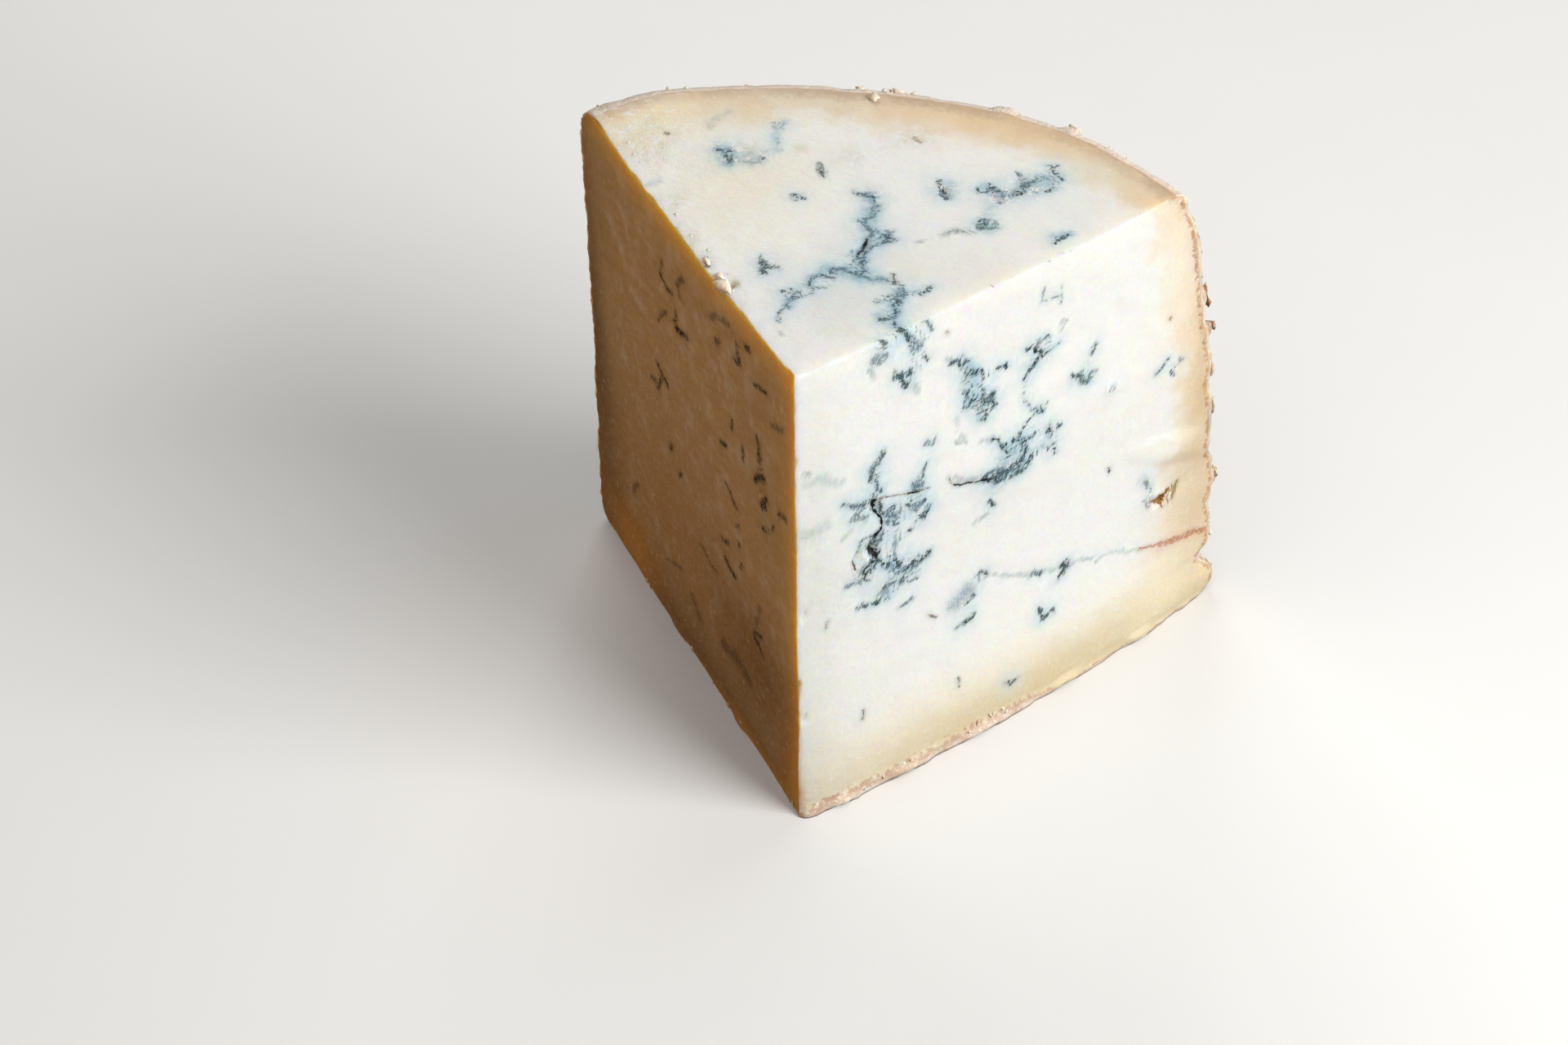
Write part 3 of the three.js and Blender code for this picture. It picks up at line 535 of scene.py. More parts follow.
def nearest_vein(points, tints):
    """For each point: the vector from the nearest vein, its distance, and the vein's half width, strength and
    colour, and how much pale blue halo reaches the point."""
    rows = vein_segments(tints)
    start, end, half, strength, tint, blue = np.split(rows, (3, 6, 7, 8, 11), axis=1)
    half, strength, blue = half[:, 0], strength[:, 0], blue[:, 0]
    run = end - start
    size = np.maximum((run ** 2).sum(1), TINY)
    away = np.zeros((len(points), 3))
    near = np.zeros(len(points))
    pick = np.zeros(len(points), int)
    halo = np.zeros(len(points))
    extent = (HALO["least_length"] + np.sqrt(size)) * (HALO["least_width"] + half)
    weight = blue * strength * HALO["gain"] * extent
    for first in range(0, len(points), BLOCK):
        block = slice(first, first + BLOCK)
        p = points[block, None, :]
        along = np.clip(((p - start) * run).sum(2) / size, 0, 1)
        gap = p - (start + along[..., None] * run)
        distance = np.sqrt((gap ** 2).sum(2))
        best = np.argmin(distance - half, axis=1)
        row = np.arange(len(best))
        away[block] = gap[row, best]
        near[block] = distance[row, best]
        pick[block] = best
        halo[block] = (weight * bell(distance, HALO["reach"])).sum(1)
    return {"vein": away, "near": near, "half": half[pick], "strength": strength[pick], "tint": tint[pick],
            "halo": 1 - np.exp(-halo)}


# Soft changes of tone: colour, centre on the face, half length, half height and strength.
PATCHES = {
    "right": (
        # The next line's first patch, a grey strip along the right cut's edge at the tip, is painted shade of
        # the light lost through that thin edge.
        ((224, 226, 218), 2, 60, 7, 60, 0.55), ((236, 236, 228), 8, 40, 16, 34, 0.4),
        ((240, 243, 243), 22, 66, 15, 20, 0.5), ((255, 252, 243), 76, 100, 24, 22, 0.5),
        ((255, 243, 226), 98, 96, 10, 30, 0.5), ((234, 216, 186), 107, 30, 9, 16, 0.75),
        # The next line's first patch, a thin pale band along the ledge, is a painted highlight on the ledge's
        # upper slope.
        ((252, 246, 230), 99, 52.5, 11, 2.4, 0.5), ((226, 208, 184), 110, 41, 5, 5, 0.6),
        ((238, 240, 242), 44, 40, 14, 6, 0.5), ((249, 247, 239), 54, 72, 16, 14, 0.4),
        ((246, 240, 222), 60, 16, 40, 7, 0.45), ((243, 236, 216), 20, 12, 26, 8, 0.4),
        ((218, 210, 186), 2, 8, 8, 12, 0.6), ((255, 252, 245), 58, 40, 36, 15, 0.5),
        ((216, 196, 158), 112, 60, 5, 60, 0.7), ((210, 190, 146), 60, 3, 60, 9, 0.65),
        ((238, 206, 188), 108, 21.4, 9, 2, 0.6), ((248, 238, 210), 104, 11, 12, 8, 0.7),
    ),
    "top": (
        ((240, 232, 206), -30, 52, 14, 22, 0.5), ((222, 226, 222), 2, 24, 12, 12, 0.6),
        ((214, 222, 226), 2, 44, 9, 13, 0.5), ((238, 234, 214), -18, 66, 16, 14, 0.4),
        ((236, 204, 158), 12, 90, 22, 7, 0.6), ((240, 222, 188), 54, 75, 8, 8, 0.5),
        ((236, 231, 216), 40, 79, 8, 5, 0.7), ((255, 243, 216), -54, 74, 12, 12, 0.9),
        ((240, 204, 154), -52, 79, 4.5, 2.5, 0.5), ((240, 202, 150), -58, 76, 4, 3, 0.6),
        ((224, 218, 204), -20, 92, 22, 6, 0.4), ((228, 228, 214), 24, 40, 14, 8, 0.4),
        ((222, 231, 232), 28, 68, 12, 7, 0.4), ((228, 234, 234), -28, 70, 9, 8, 0.4),
        ((208, 206, 188), -17.6, 73.5, 1.8, 1.5, 0.5),
    ),
    # On the left cut the patches lie over its painted shade. The first two, amber bands along its top edge
    # and along its edge at the tip, are painted glow of light shining through those thin edges; the others
    # make it darker towards the rind's edge and the foot, amber along parts of the foot, and vary its tone
    # elsewhere.
    "left": (
        ((255, 216, 102), 50, 120, 70, 6, 1.0), ((240, 202, 104), 0, 60, 4.4, 80, 1.0),
        ((120, 100, 68), 106, 60, 12, 80, 0.8), ((226, 160, 62), 0, 8, 8, 16, 0.6),
        ((108, 82, 44), 50, 0, 70, 15, 0.75), ((164, 128, 82), 60, 30, 50, 24, 0.5),
        ((190, 170, 118), 14, 76, 10, 20, 0.4), ((190, 166, 132), 56, 64, 30, 22, 0.35),
        ((112, 84, 48), 18, 27, 22, 16, 0.5), ((232, 172, 74), 90, 5, 14, 9, 0.7),
        ((226, 168, 72), 20, 1, 26, 3, 0.5),
    ),
}
MOST_PATCHED = 0.9


def tone_patches(face, u, v):
    """The patches' colour and share at each point of a face."""
    blend = np.zeros((len(u), 3))
    share = np.zeros(len(u))
    for tint, at_u, at_v, wide, high, strength in PATCHES[face]:
        here = strength * bell(np.hypot((u - at_u) / wide, (v - at_v) / high), 1)
        blend += here[:, None] * np.array(to_linear(tint))
        share += here
    return blend / np.maximum(share, TINY)[:, None], np.minimum(share, MOST_PATCHED)


# Where the paste is crumbled: the place on the face, and its reach.
CRUMBLED = {
    "top": (
        (-54, 74, 9), (-47, 66, 7), (-38, 50, 4), (-33, 40, 4), (-28, 34, 3.5), (-21, 26, 4), (-17, 19, 3),
        (-6, 73, 4), (5, 82, 5), (1, 62, 4), (30, 70, 5), (24, 66, 4), (14, 66, 3), (-30, 69, 5),
    ),
    "right": ((46, 91, 4), (53, 69, 5), (16, 64, 5), (28, 57, 4), (97, 38, 3), (82, 77, 2.5), (60, 97, 4)),
    "left": (),
}

# Fine relief: features' size, seed, height, and how much higher than wide they are. Lengths in millimetres.
PASTE_GRAIN = ((5, 1, 0.1), (1.9, 2, 0.05))
CRUMBLED_GRAIN = ((2.2, 3, 0.25),)
CRUST_GRIT = ((1.7, 6, 0.22),)
CRUST_FLAKES = ((4.5, 15, 0.8, 1.6), (1.8, 16, 0.6))
RIM_GRAIN = ((2.2, 14, 0.3),)
LIP_CRUMBS = ((4.5, 12, 0.9), (1.6, 13, 0.45))
FOOT_SWELL = ((8, 18, 0.5),)
# Creases of the crust: as above. Its small holes: size, seed, depth, and radius in cells.
CRUST_CREASES = ((7, 4, 0.75, 0.6), (3.2, 5, 0.4, 0.75))
CRUST_HOLES = {"size": 7, "seed": 7, "depth": 0.9, "radius": 0.42}
# Chips out of the cut edges: size, seed, the level of the noise from which they start, and depth.
CHIPS = ((4.5, 8, 0.12, 1.3), (1.6, 9, 0, 0.35), (11, 17, 0.1, 1.1))
TOP_RIGHT_CHIPS = 0.35

# The crust's section as it shows round the cuts, and the crust that wraps the foot of the right cut.
SKIN = {"top": 0.5, "right": 1.7, "left": 0.9, "left_foot": 0.5}
RIM = {"width": 1.4, "proud": 0.12}
FOOT_CRUST = {"height": 2.6, "thin": 0.6, "from": 3.0, "to": 58.0, "starts": 4, "ends": 14, "proud": 0.55}
LIP = {"above": 1, "crumbly": 0.6, "edge": 0.5, "fade": 3}
CRUST_ENDS = {"level": 0.45, "reach": 5}
CRUST_AT_CUT = 0.35
FLAKES_REACH = 0.03


def relief(points, grains):
    """The sum of noises of several sizes and heights."""
    total = 0
    for size, seed, height, *rise in grains:
        total = total + height * roughness_field(points, size, seed, *rise)
    return total


class Surface:
    """The wedge's grid points, and where each lies before its fine relief is added, in millimetres. The place
    is counted from the tip's foot, out is the distance from the tip's edge, and rim that to the rind."""

    def __init__(self):
        self.cube, self.quads, self.sides = cube_skin()
        s, t, h = [crowd(column) for column in self.cube.T]
        self.points, reach, self.share, full = wedge_points(s, t, h)
        self.normals = vertex_normals(self.points, self.quads)
        self.place = self.points - TIP
        self.z = self.place[:, 2]
        self.out = reach * full
        self.rim = (1 - reach) * full
        self.foot = h < TINY
        self.rind = reach > 1 - TINY
        right, left, top = t < TINY, s < TINY, h > 1 - TINY
        self.faces = {"right": right, "left": left & ~right, "top": top & ~right & ~left}
        self.cut = right | left | top
        self.edges = (right & top, left & top, left & right, self.rind & right, self.rind & left)

    def on(self, face):
        """The mask of a face's points, and their two coordinates on it."""
        here = self.faces[face]
        along_u, along_v, _ = FACES[face]
        return here, (self.place @ along_u)[here], (self.place @ along_v)[here]


def mark_depth(skin):
    """Depth of the hollows at each point, below 0 on the crags."""
    depth = np.zeros(len(skin.points))
    for face in FACES:
        here, u, v = skin.on(face)
        depth[here] += press_marks(u, v, MARKS[face])
    marks = [(at * RIND_LENGTH, *rest) for at, *rest in MARKS["rind"]]
    depth[skin.rind] += press_marks((skin.share * RIND_LENGTH)[skin.rind], skin.z[skin.rind], marks)
    return depth


def vein_fields(skin):
    """What each layer's nearest vein gives to each point of the flat faces, and the halo of all."""
    flat = skin.place.copy()
    for face in FACES:
        here, u, v = skin.on(face)
        flat[here] = on_face(face, u, v)
    fields = {"halo": np.zeros(len(flat))}
    for layer, tints in LAYERS.items():
        for name, values in nearest_vein(flat[skin.cut], tints).items():
            field = np.full((len(flat),) + values.shape[1:], FAR if name in ("vein", "near") else 0.0)
            field[skin.cut] = values
            if name == "halo":
                fields["halo"] = np.maximum(fields["halo"], field)
            else:
                fields[layer + name] = field
    return fields


def tone_fields(skin):
    """The tone patches of the flat faces, and how crumbled the paste is."""
    patch = np.zeros((len(skin.points), 3))
    patched = np.zeros(len(skin.points))
    crumbled = np.zeros(len(skin.points))
    for face in FACES:
        here, u, v = skin.on(face)
        patch[here], patched[here] = tone_patches(face, u, v)
        for at_u, at_v, size in CRUMBLED[face]:
            crumbled[here] += bell(np.hypot(u - at_u, v - at_v), size)
    return {"patch": patch, "patched": patched, "crumbled": np.clip(crumbled, 0, 1)}


def foot_crust(skin):
    """Height of the crust that shows along the foot of the right cut."""
    bare = np.maximum(smooth((FOOT_CRUST["from"] - skin.out) / FOOT_CRUST["starts"]),
                      smooth((skin.out - FOOT_CRUST["to"]) / FOOT_CRUST["ends"]))
    return mix(FOOT_CRUST["height"], FOOT_CRUST["thin"], bare)


def skin_depth(skin, foot):
    """How far each point of a cut is from the crust's section, in thicknesses of the crust."""
    right, left, top = [skin.faces[face] for face in FACES]
    depth = np.full(len(skin.points), FAR)
    depth[top] = skin.rim[top] / SKIN["top"]
    depth[right] = np.minimum(skin.rim / SKIN["right"], skin.z / foot)[right]
    depth[left] = np.minimum(skin.rim / SKIN["left"], skin.z / SKIN["left_foot"])[left]
    return depth


def paste_relief(skin, crumbled, foot):
    """Fine relief of the cuts, of the crust along the right cut's foot, and of the crust's section."""
    fine = np.zeros(len(skin.points))
    paste = skin.place[skin.cut]
    fine[skin.cut] = relief(paste, PASTE_GRAIN) + crumbled[skin.cut] * relief(paste, CRUMBLED_GRAIN)
    lip = skin.faces["right"] & (skin.z < FOOT_CRUST["height"] + LIP["above"])
    z = skin.z[lip]
    crumbly = LIP["crumbly"] + relief(skin.place[lip], LIP_CRUMBS)
    fine[lip] += FOOT_CRUST["proud"] * crumbly * smooth(foot[lip] + LIP["edge"] - z)
    ease = smooth((FOOT_CRUST["height"] + LIP["above"] - z) / LIP["fade"])
    fine[lip] += relief(skin.place[lip], FOOT_SWELL) * ease
    rim = (skin.faces["right"] | skin.faces["left"]) & (skin.rim < RIM["width"])
    fine[rim] += RIM["proud"] + relief(skin.place[rim], RIM_GRAIN)
    return fine


def crust_relief(skin):
    """The crust's relief, flaky by the cuts, and what of it are creases, grit and small holes."""
    place, share, z = skin.place[skin.rind], skin.share[skin.rind], skin.z[skin.rind]
    level = relief(place, CRUST_GRIT)
    for size, seed, height, rise in CRUST_CREASES:
        level += height * (0.5 - np.abs(roughness_field(place, size, seed, rise)))
    radius = CRUST_HOLES["radius"]
    holes = np.clip(radius - cell_distance(place, CRUST_HOLES["size"], CRUST_HOLES["seed"]), 0, 1) / radius
    worn = level - CRUST_HOLES["depth"] * holes
    by_cut = bell(np.minimum(share, 1 - share), FLAKES_REACH)
    level = worn + by_cut * relief(place, CRUST_FLAKES)
    calm = mix(CRUST_ENDS["level"], 1, smooth(np.minimum(z, HEIGHT - z) / CRUST_ENDS["reach"]))
    return np.where(skin.cut[skin.rind], CRUST_AT_CUT, 1) * level * calm, worn


def chip_edges(skin):
    """Chips of uneven depth out of the cut edges. The edge between the top and the right cut has fewer."""
    edge = np.logical_or.reduce(skin.edges)
    chips = 0
    for size, seed, least, deep in CHIPS:
        chips = chips + deep * np.clip(roughness_field(skin.place[edge], size, seed) - least, 0, 1)
    chips *= np.where(skin.edges[0][edge], TOP_RIGHT_CHIPS, 1)
    skin.points[edge] -= skin.normals[edge] * chips[:, None]


def build_wedge():
    skin = Surface()
    fields = vein_fields(skin)
    fields.update(tone_fields(skin))
    depth = mark_depth(skin)
    foot = foot_crust(skin)
    fine = paste_relief(skin, fields["crumbled"], foot)
    worn = np.zeros(len(skin.points))
    fine[skin.rind], worn[skin.rind] = crust_relief(skin)
    skin.points += skin.normals * (fine - depth)[:, None]
    chip_edges(skin)
    skin.points[:, 2] = np.maximum(skin.points[:, 2], 0)
    skin.points[skin.foot, 2] = 0

    ring = edge_loop(skin.cube)
    middle = skin.points[ring].mean(0)
    middle[2] = 0
    fan = np.stack((np.roll(ring, -1), ring, np.full(len(ring), len(skin.points))), axis=1)
    fields.update({
        "rim": skin.rim, "skin": skin_depth(skin, foot), "pit": np.clip(depth, 0, None), "worn": worn,
        "left_cut": skin.faces["left"].astype(float),
    })
    fields = {name: np.concatenate((field, np.zeros_like(field[:1]))) for name, field in fields.items()}
    on_rind = (skin.sides == 1) | (skin.sides == 3)
    faces = skin.quads.tolist() + fan.tolist()
    slots = on_rind.astype(int).tolist() + [1] * len(fan)
    wedge = make_mesh("wedge", np.vstack((skin.points, middle)), faces, slots, fields)
    mark_sharp(wedge.data, skin.edges)
    return wedge, skin


def mark_sharp(mesh, lines):
    """Keeps the shading crisp along the wedge's cut edges. Each line is a mask of the points on one edge."""
    ends = np.zeros(len(mesh.edges) * 2, np.int32)
    mesh.edges.foreach_get("vertices", ends)
    ends = ends.reshape(-1, 2)
    sharp = np.zeros(len(ends), bool)
    for line in lines:
        on_line = np.append(line, False)
        sharp |= on_line[ends].all(axis=1)
    mesh.attributes.new("sharp_edge", "BOOLEAN", "EDGE").data.foreach_set("value", sharp)


def edge_loop(cube):
    """Lattice points round the foot, in order seen from above, anticlockwise."""
    foot = np.where(cube[:, 2] < TINY)[0]
    s, t = cube[foot, 0], cube[foot, 1]
    lap = np.select([t < TINY, s > 1 - TINY, t > 1 - TINY], [s, 1 + t, 3 - s], 4 - t)
    return foot[np.argsort(lap)]


def make_mesh(name, points, faces, slots, fields):
    mesh = bpy.data.meshes.new(name)
    mesh.from_pydata((points * MM).tolist(), [], faces)
    for field_name, field in fields.items():
        kind, value = ("FLOAT_VECTOR", "vector") if field.ndim == 2 else ("FLOAT", "value")
        layer = mesh.attributes.new(field_name, kind, "POINT")
        layer.data.foreach_set(value, field.astype(np.float32).ravel())
    mesh.polygons.foreach_set("material_index", slots)
    mesh.polygons.foreach_set("use_smooth", [True] * len(faces))
    mesh.update()
    piece = bpy.data.objects.new(name, mesh)
    bpy.context.scene.collection.objects.link(piece)
    return piece


# Single crumbs and flakes: place from the tip's foot, length, width, thickness, and tone: 0 paste, 1 crust.
CRUMBS = (
    ((-7, 95, 119.6), 2.6, 1.8, 1.6, 0.2), ((-10.5, 100.5, 119.8), 2.2, 1.4, 1.4, 0.3),
    ((-5, 101.5, 119.8), 1.8, 1.2, 1.3, 0.15), ((-2.5, 101.6, 119.8), 3.2, 1.4, 1.5, 0.25),
    ((1.5, 101.3, 119.8), 2.2, 1.4, 1.2, 0.15), ((37, 95, 119.6), 2.4, 1.2, 1.1, 0.2),
    ((-21.6, 25.2, 119.2), 4.4, 3.2, 3.0, 0.1), ((-23, 27.4, 118.6), 2.2, 1.6, 1.6, 0.1),
    ((-26.6, 32.2, 118.9), 2, 1.3, 1.2, 0.1), ((69.8, 86.2, 90), 1.4, 4.6, 0.5, 0.7),
    ((71.6, 88.4, 79), 1.4, 3.2, 0.7, 0.6), ((70.6, 87.2, 85), 1.4, 4, 0.6, 0.95),
    ((73.2, 90.3, 66), 1.5, 4.4, 1.1, 0.35), ((74.5, 91.9, 56), 1.5, 5, 0.8, 0.3),
    ((76.4, 94.4, 35), 1.8, 4.6, 0.9, 0.25), ((77.7, 96, 9), 1.8, 4, 0.9, 0.2),
)
# Rows of small seeded crumbs: how many, start and end from the tip's foot, spread, largest size, mean tone.
# The first row follows the arc of the top's back edge, the others are straight.
CRUMB_ROWS = (
    (34, (63, 80, 119.6), (-64, 84, 119.2), 0.5, 1.1, 0.2),
    (18, (67.4, 83.4, 113), (73.6, 91, 58), 0.3, 1.0, 0.4),
    (16, (73.6, 91, 58), (78.4, 96.6, 5), 0.3, 1.1, 0.25),
    (12, (4, 4.6, 0.3), (20, 24.4, 0.3), 0.4, 1.2, 0.1),
    (8, (20, 24.4, 1), (46, 57, 1), 0.6, 1.5, 0.3),
    (14, (-1, 1, 0.8), (-66, 84, 0.8), 0.5, 1.2, 0.3),
    (12, (-8, 11, 119.8), (-62, 78, 119.8), 0.5, 0.9, 0.1),
    (10, (10, 12, 119.9), (58, 72, 119.9), 0.4, 0.5, 0.0),
)
CRUMB_SEED = 11
BACK_EDGE = {"inset": 1, "height": 119.7}
CRUMB_SIZES = {"smallest": 0.3, "bias": 1.5, "uneven": (0.7, 1.3), "flatness": (1, 1, 0.7)}
TONE_SPREAD = 0.25
# A crumb's lumps: their size and height in its diameters. How far its middle stands out, in its thicknesses.
LUMPS = ((0.4, 0.9), (1 / 6, 0.6))
RAISED = 0.05
LOWEST = 0.02
SIDE_HINT = (0.3, 0.2, 1)


def scattered_crumbs(rng):
    """Place, size and tone of the small seeded crumbs."""
    crumbs = []
    for number, (count, start, end, spread, largest, tone) in enumerate(CRUMB_ROWS):
        for _ in range(count):
            place = mix(np.array(start, float), np.array(end, float), rng.random())
            if number == 0:
                angle = mix(RIGHT_CUT, LEFT_CUT, rng.random())
                x, y = RIGHT["top"] * math.cos(angle), RIGHT["top"] * math.sin(angle)
                place = np.array((x - BACK_EDGE["inset"], y, BACK_EDGE["height"]))
            size = largest * rng.uniform(CRUMB_SIZES["smallest"], 1) ** CRUMB_SIZES["bias"]
            size = size * rng.uniform(*CRUMB_SIZES["uneven"], 3) * CRUMB_SIZES["flatness"]
            place = place + rng.normal(0, spread, 3)
            crumbs.append((place, size, float(np.clip(tone + rng.normal(0, TONE_SPREAD), 0, 1))))
    return crumbs


def build_crumbs(skin):
    """Crumbs and flakes that cling to the wedge, each about half sunk into its surface."""
    rng = np.random.default_rng(CRUMB_SEED)
    crumbs = [(np.array(place, float), np.array(size, float), tone) for place, *size, tone in CRUMBS]
    crumbs += scattered_crumbs(rng)
    ball = bmesh.new()
    bmesh.ops.create_icosphere(ball, subdivisions=2, radius=0.5)
    shape = np.array([v.co for v in ball.verts])
    sides = [[v.index for v in f.verts] for f in ball.faces]
    ball.free()
    points = []
    faces = []
    tones = []
    for number, (place, size, tone) in enumerate(crumbs):
        at = int(np.argmin(((skin.points - (place + TIP)) ** 2).sum(1)))
        out = skin.normals[at]
        side = np.cross(out, SIDE_HINT)
        side /= np.linalg.norm(side)
        turn = rng.uniform(0, math.pi) if number >= len(CRUMBS) else 0
        long = math.cos(turn) * side + math.sin(turn) * np.cross(out, side)
        basis = np.stack((long, np.cross(out, long), out))
        lump = 1 + relief(shape, [(lump_size, number, height) for lump_size, height in LUMPS])
        points.append((shape * lump[:, None] * size) @ basis + skin.points[at] + out * size[2] * RAISED)
        faces += [[i + number * len(shape) for i in f] for f in sides]
        tones.append(np.full(len(shape), tone))
    points = np.concatenate(points)
    points[:, 2] = np.maximum(points[:, 2], LOWEST)
    return make_mesh("crumbs", points, faces, [0] * len(faces), {"tone": np.concatenate(tones)})


class Shader:
    """A material's nodes, built by short calls. Lengths are in millimetres, colours sRGB from 0 to 255."""

    def __init__(self, name, grains=()):
        self.material = bpy.data.materials.new(name)
        self.material.use_nodes = True
        self.tree = self.material.node_tree
        self.tree.nodes.clear()
        output = self.node("OutputMaterial")
        self.surface = self.node("BsdfPrincipled")
        self.tree.links.new(self.surface.outputs[0], output.inputs[0])
        self.place = self.node("TexCoord").outputs["Object"]
        self.grains = [self.noise(*row) for row in grains]

    def node(self, kind, values=(), **settings):
        """A new node with its first inputs set."""
        node = self.tree.nodes.new("ShaderNode" + kind)
        for name, value in settings.items():
            setattr(node, name, value)
        for socket, value in zip(node.inputs, values):
            self.set(socket, value)
        return node

    def set(self, socket, value):
        if isinstance(value, bpy.types.NodeSocket):
            self.tree.links.new(value, socket)
        elif isinstance(value, tuple) and socket.type == "RGBA":
            socket.default_value = (*to_linear(value), 1)
        else:
            socket.default_value = value

    def dress(self, looks):
        for name, value in looks.items():
            self.set(self.surface.inputs[name], value)

    def math(self, operation, *values):
        return self.node("Math", values, operation=operation).outputs[0]

    def add(self, first, *others):
        for other in others:
            first = self.math("ADD", first, other)
        return first

    def less(self, a, b):
        return self.math("SUBTRACT", a, b)

    def times(self, first, *others):
        for other in others:
            first = self.math("MULTIPLY", first, other)
        return first

    def fade(self, value, width, power=2):
        """1 where the value is 0, and almost 0 beyond the width."""
        ratio = self.math("DIVIDE", value, width)
        return self.math("EXPONENT", self.times(self.math("POWER", ratio, power), -1))

    def vector(self, operation, a, b=(0, 0, 0)):
        node = self.node("VectorMath", (a, b), operation=operation)
        return node.outputs["Value" if operation in ("LENGTH", "DOT_PRODUCT") else "Vector"]

    def scaled(self, vector, scale):
        node = self.node("VectorMath", (vector,), operation="SCALE")
        self.set(node.inputs["Scale"], scale)
        return node.outputs["Vector"]

    def step(self, value, low, high, out_low=0.0, out_high=1.0):
        values = (value, low, high, out_low, out_high)
        return self.node("MapRange", values, interpolation_type="SMOOTHSTEP").outputs[0]

    def attribute(self, name, output="Fac"):
        return self.node("Attribute", attribute_name=name).outputs[output]

    def noise(self, size, detail=2.0, rough=0.5, output="Fac", place=None):
        node = self.node("TexNoise", (place or self.place,))
        for name, value in (("Scale", 1 / (size * MM)), ("Detail", detail), ("Roughness", rough)):
            node.inputs[name].default_value = value
        return node.outputs[output]

    def jitter(self, size, detail, rough, reach, place=None):
        """A random vector whose parts reach up to half of reach either way."""
        centred = self.vector("SUBTRACT", self.noise(size, detail, rough, "Color", place), (0.5, 0.5, 0.5))
        return self.scaled(centred, reach)

    def height(self):
        """The height above the underside."""
        return self.times(self.node("SeparateXYZ", (self.place,)).outputs[2], 1 / MM)

    def mix(self, share, a, b):
        node = self.node("Mix", (share,), data_type="RGBA")
        self.set(node.inputs[6], a)
        self.set(node.inputs[7], b)
        return node.outputs[2]

    def tones(self, body, rows):
        """Lays tones over a colour. Each row: the value they follow, its ends, how strongly, and the tone."""
        for value, low, high, share, tone in rows:
            body = self.mix(self.times(self.step(value, low, high), share), body, tone)
        return body

    def stretched(self, direction, share):
        """Coordinates in which features are drawn out along a direction."""
        direction = tuple(direction)
        along = self.vector("DOT_PRODUCT", self.place, direction)
        return self.vector("SUBTRACT", self.place, self.scaled(direction, self.times(along, share)))

    def bump(self, height, distance):
        node = self.node("Bump")
        node.inputs["Distance"].default_value = distance * MM
        self.set(node.inputs["Height"], height)
        return node.outputs[0]


# The size, detail and roughness of each material's wide, middle, small and finest noise.
PASTE_NOISE = ((24, 3, 0.55), (6, 4, 0.6), (1.3, 3, 0.6), (0.45, 3, 0.65))
RIND_NOISE = ((19, 4, 0.6), (5, 5, 0.65), (1.2, 4, 0.65), (0.4, 2, 0.6))
STROKE = 0.55 * ALONG_RIGHT + 0.83 * UPWARDS
DRAG = 0.98 * ALONG_LEFT - 0.2 * UPWARDS
LONGEST_SHIFT = 0.9


def paste_colour(m):
    """Cream to white paste, tan towards the rind and the foot, with the crust's section at its edges. It also
    paints shade: dark tan over the left cut, a grey-brown band just inside the rind near the top, and amber
    tan in the hollows, partly their own colour.
    """
    wide, mid, small, _ = m.grains
    height = m.height()
    ragged = m.step(small, 0.25, 0.75, -0.5, 0.5)
    rim = m.add(m.attribute("rim"), m.step(mid, 0.2, 0.8, -2.2, 2.2))
    rim = m.times(rim, m.step(wide, 0.3, 0.7, 0.7, 1.3))
    low = m.add(height, m.step(mid, 0.2, 0.8, -2.5, 2.5))
    drag = m.noise(1.7, 4, 0.6, place=m.stretched(DRAG, 0.85))
    body = m.mix(m.step(wide, 0.35, 0.65), (242, 243, 240), (247, 246, 239))
    # The left cut is drawn in dark tan instead of the cream paste: painted shade, streaked along the knife's
    # drag.
    shaded = m.mix(m.step(drag, 0.36, 0.64), (194, 158, 99), (204, 171, 113))
    body = m.mix(m.times(m.attribute("left_cut"), 0.85), body, shaded)
    body = m.tones(body, (
        (mid, 0.45, 0.75, 0.5, (238, 237, 230)),
        (rim, 15, 5, 0.9, (230, 208, 166)),
        (rim, 6, 1.2, 0.7, (220, 190, 148)),
        (low, 17.5, 5.5, 0.75, (230, 216, 182)),
        (low, 5, 1.5, 0.6, (220, 200, 160)),
    ))
    body = m.mix(m.attribute("patched"), body, m.attribute("patch", "Vector"))
    # A grey-brown band just inside the rind, near the top only and of uneven strength: painted shade under
    # the rind's edge.
    painted_shade_under_rim = m.times(m.step(wide, 0.42, 0.6, 0.1, 0.55), m.step(height, 90, 110))
    edge = m.add(m.attribute("skin"), m.times(ragged, 0.8))
    crusty = m.mix(m.step(small, 0.4, 0.62), (196, 162, 134), (219, 195, 172))
    return m.tones(body, (
        (small, 0.55, 0.8, 0.3, (253, 253, 250)),
        (m.add(m.attribute("rim"), m.times(ragged, 2)), 5, 0.8, painted_shade_under_rim, (176, 148, 116)),
        (edge, 1.25, 0.85, 0.95, crusty),
        (edge, 0.62, 0.38, m.step(mid, 0.4, 0.55, 0.2, 0.75), (244, 229, 211)),
        # Amber tan in the hollows, stronger where they are deeper: partly the hollows' own colour, partly
        # painted shade.
        (m.attribute("pit"), 0.8, 2.0, 0.45, (176, 136, 74)),
    ))


def vein_distance(m, layer, bend):
    """Distance to a layer's nearest vein, shifted by noise so that the vein's outline is ragged."""
    bent = m.vector("LENGTH", m.vector("ADD", m.attribute(layer + "vein", "Vector"), bend))
    return m.math("MAXIMUM", bent, m.less(m.attribute(layer + "near"), LONGEST_SHIFT))


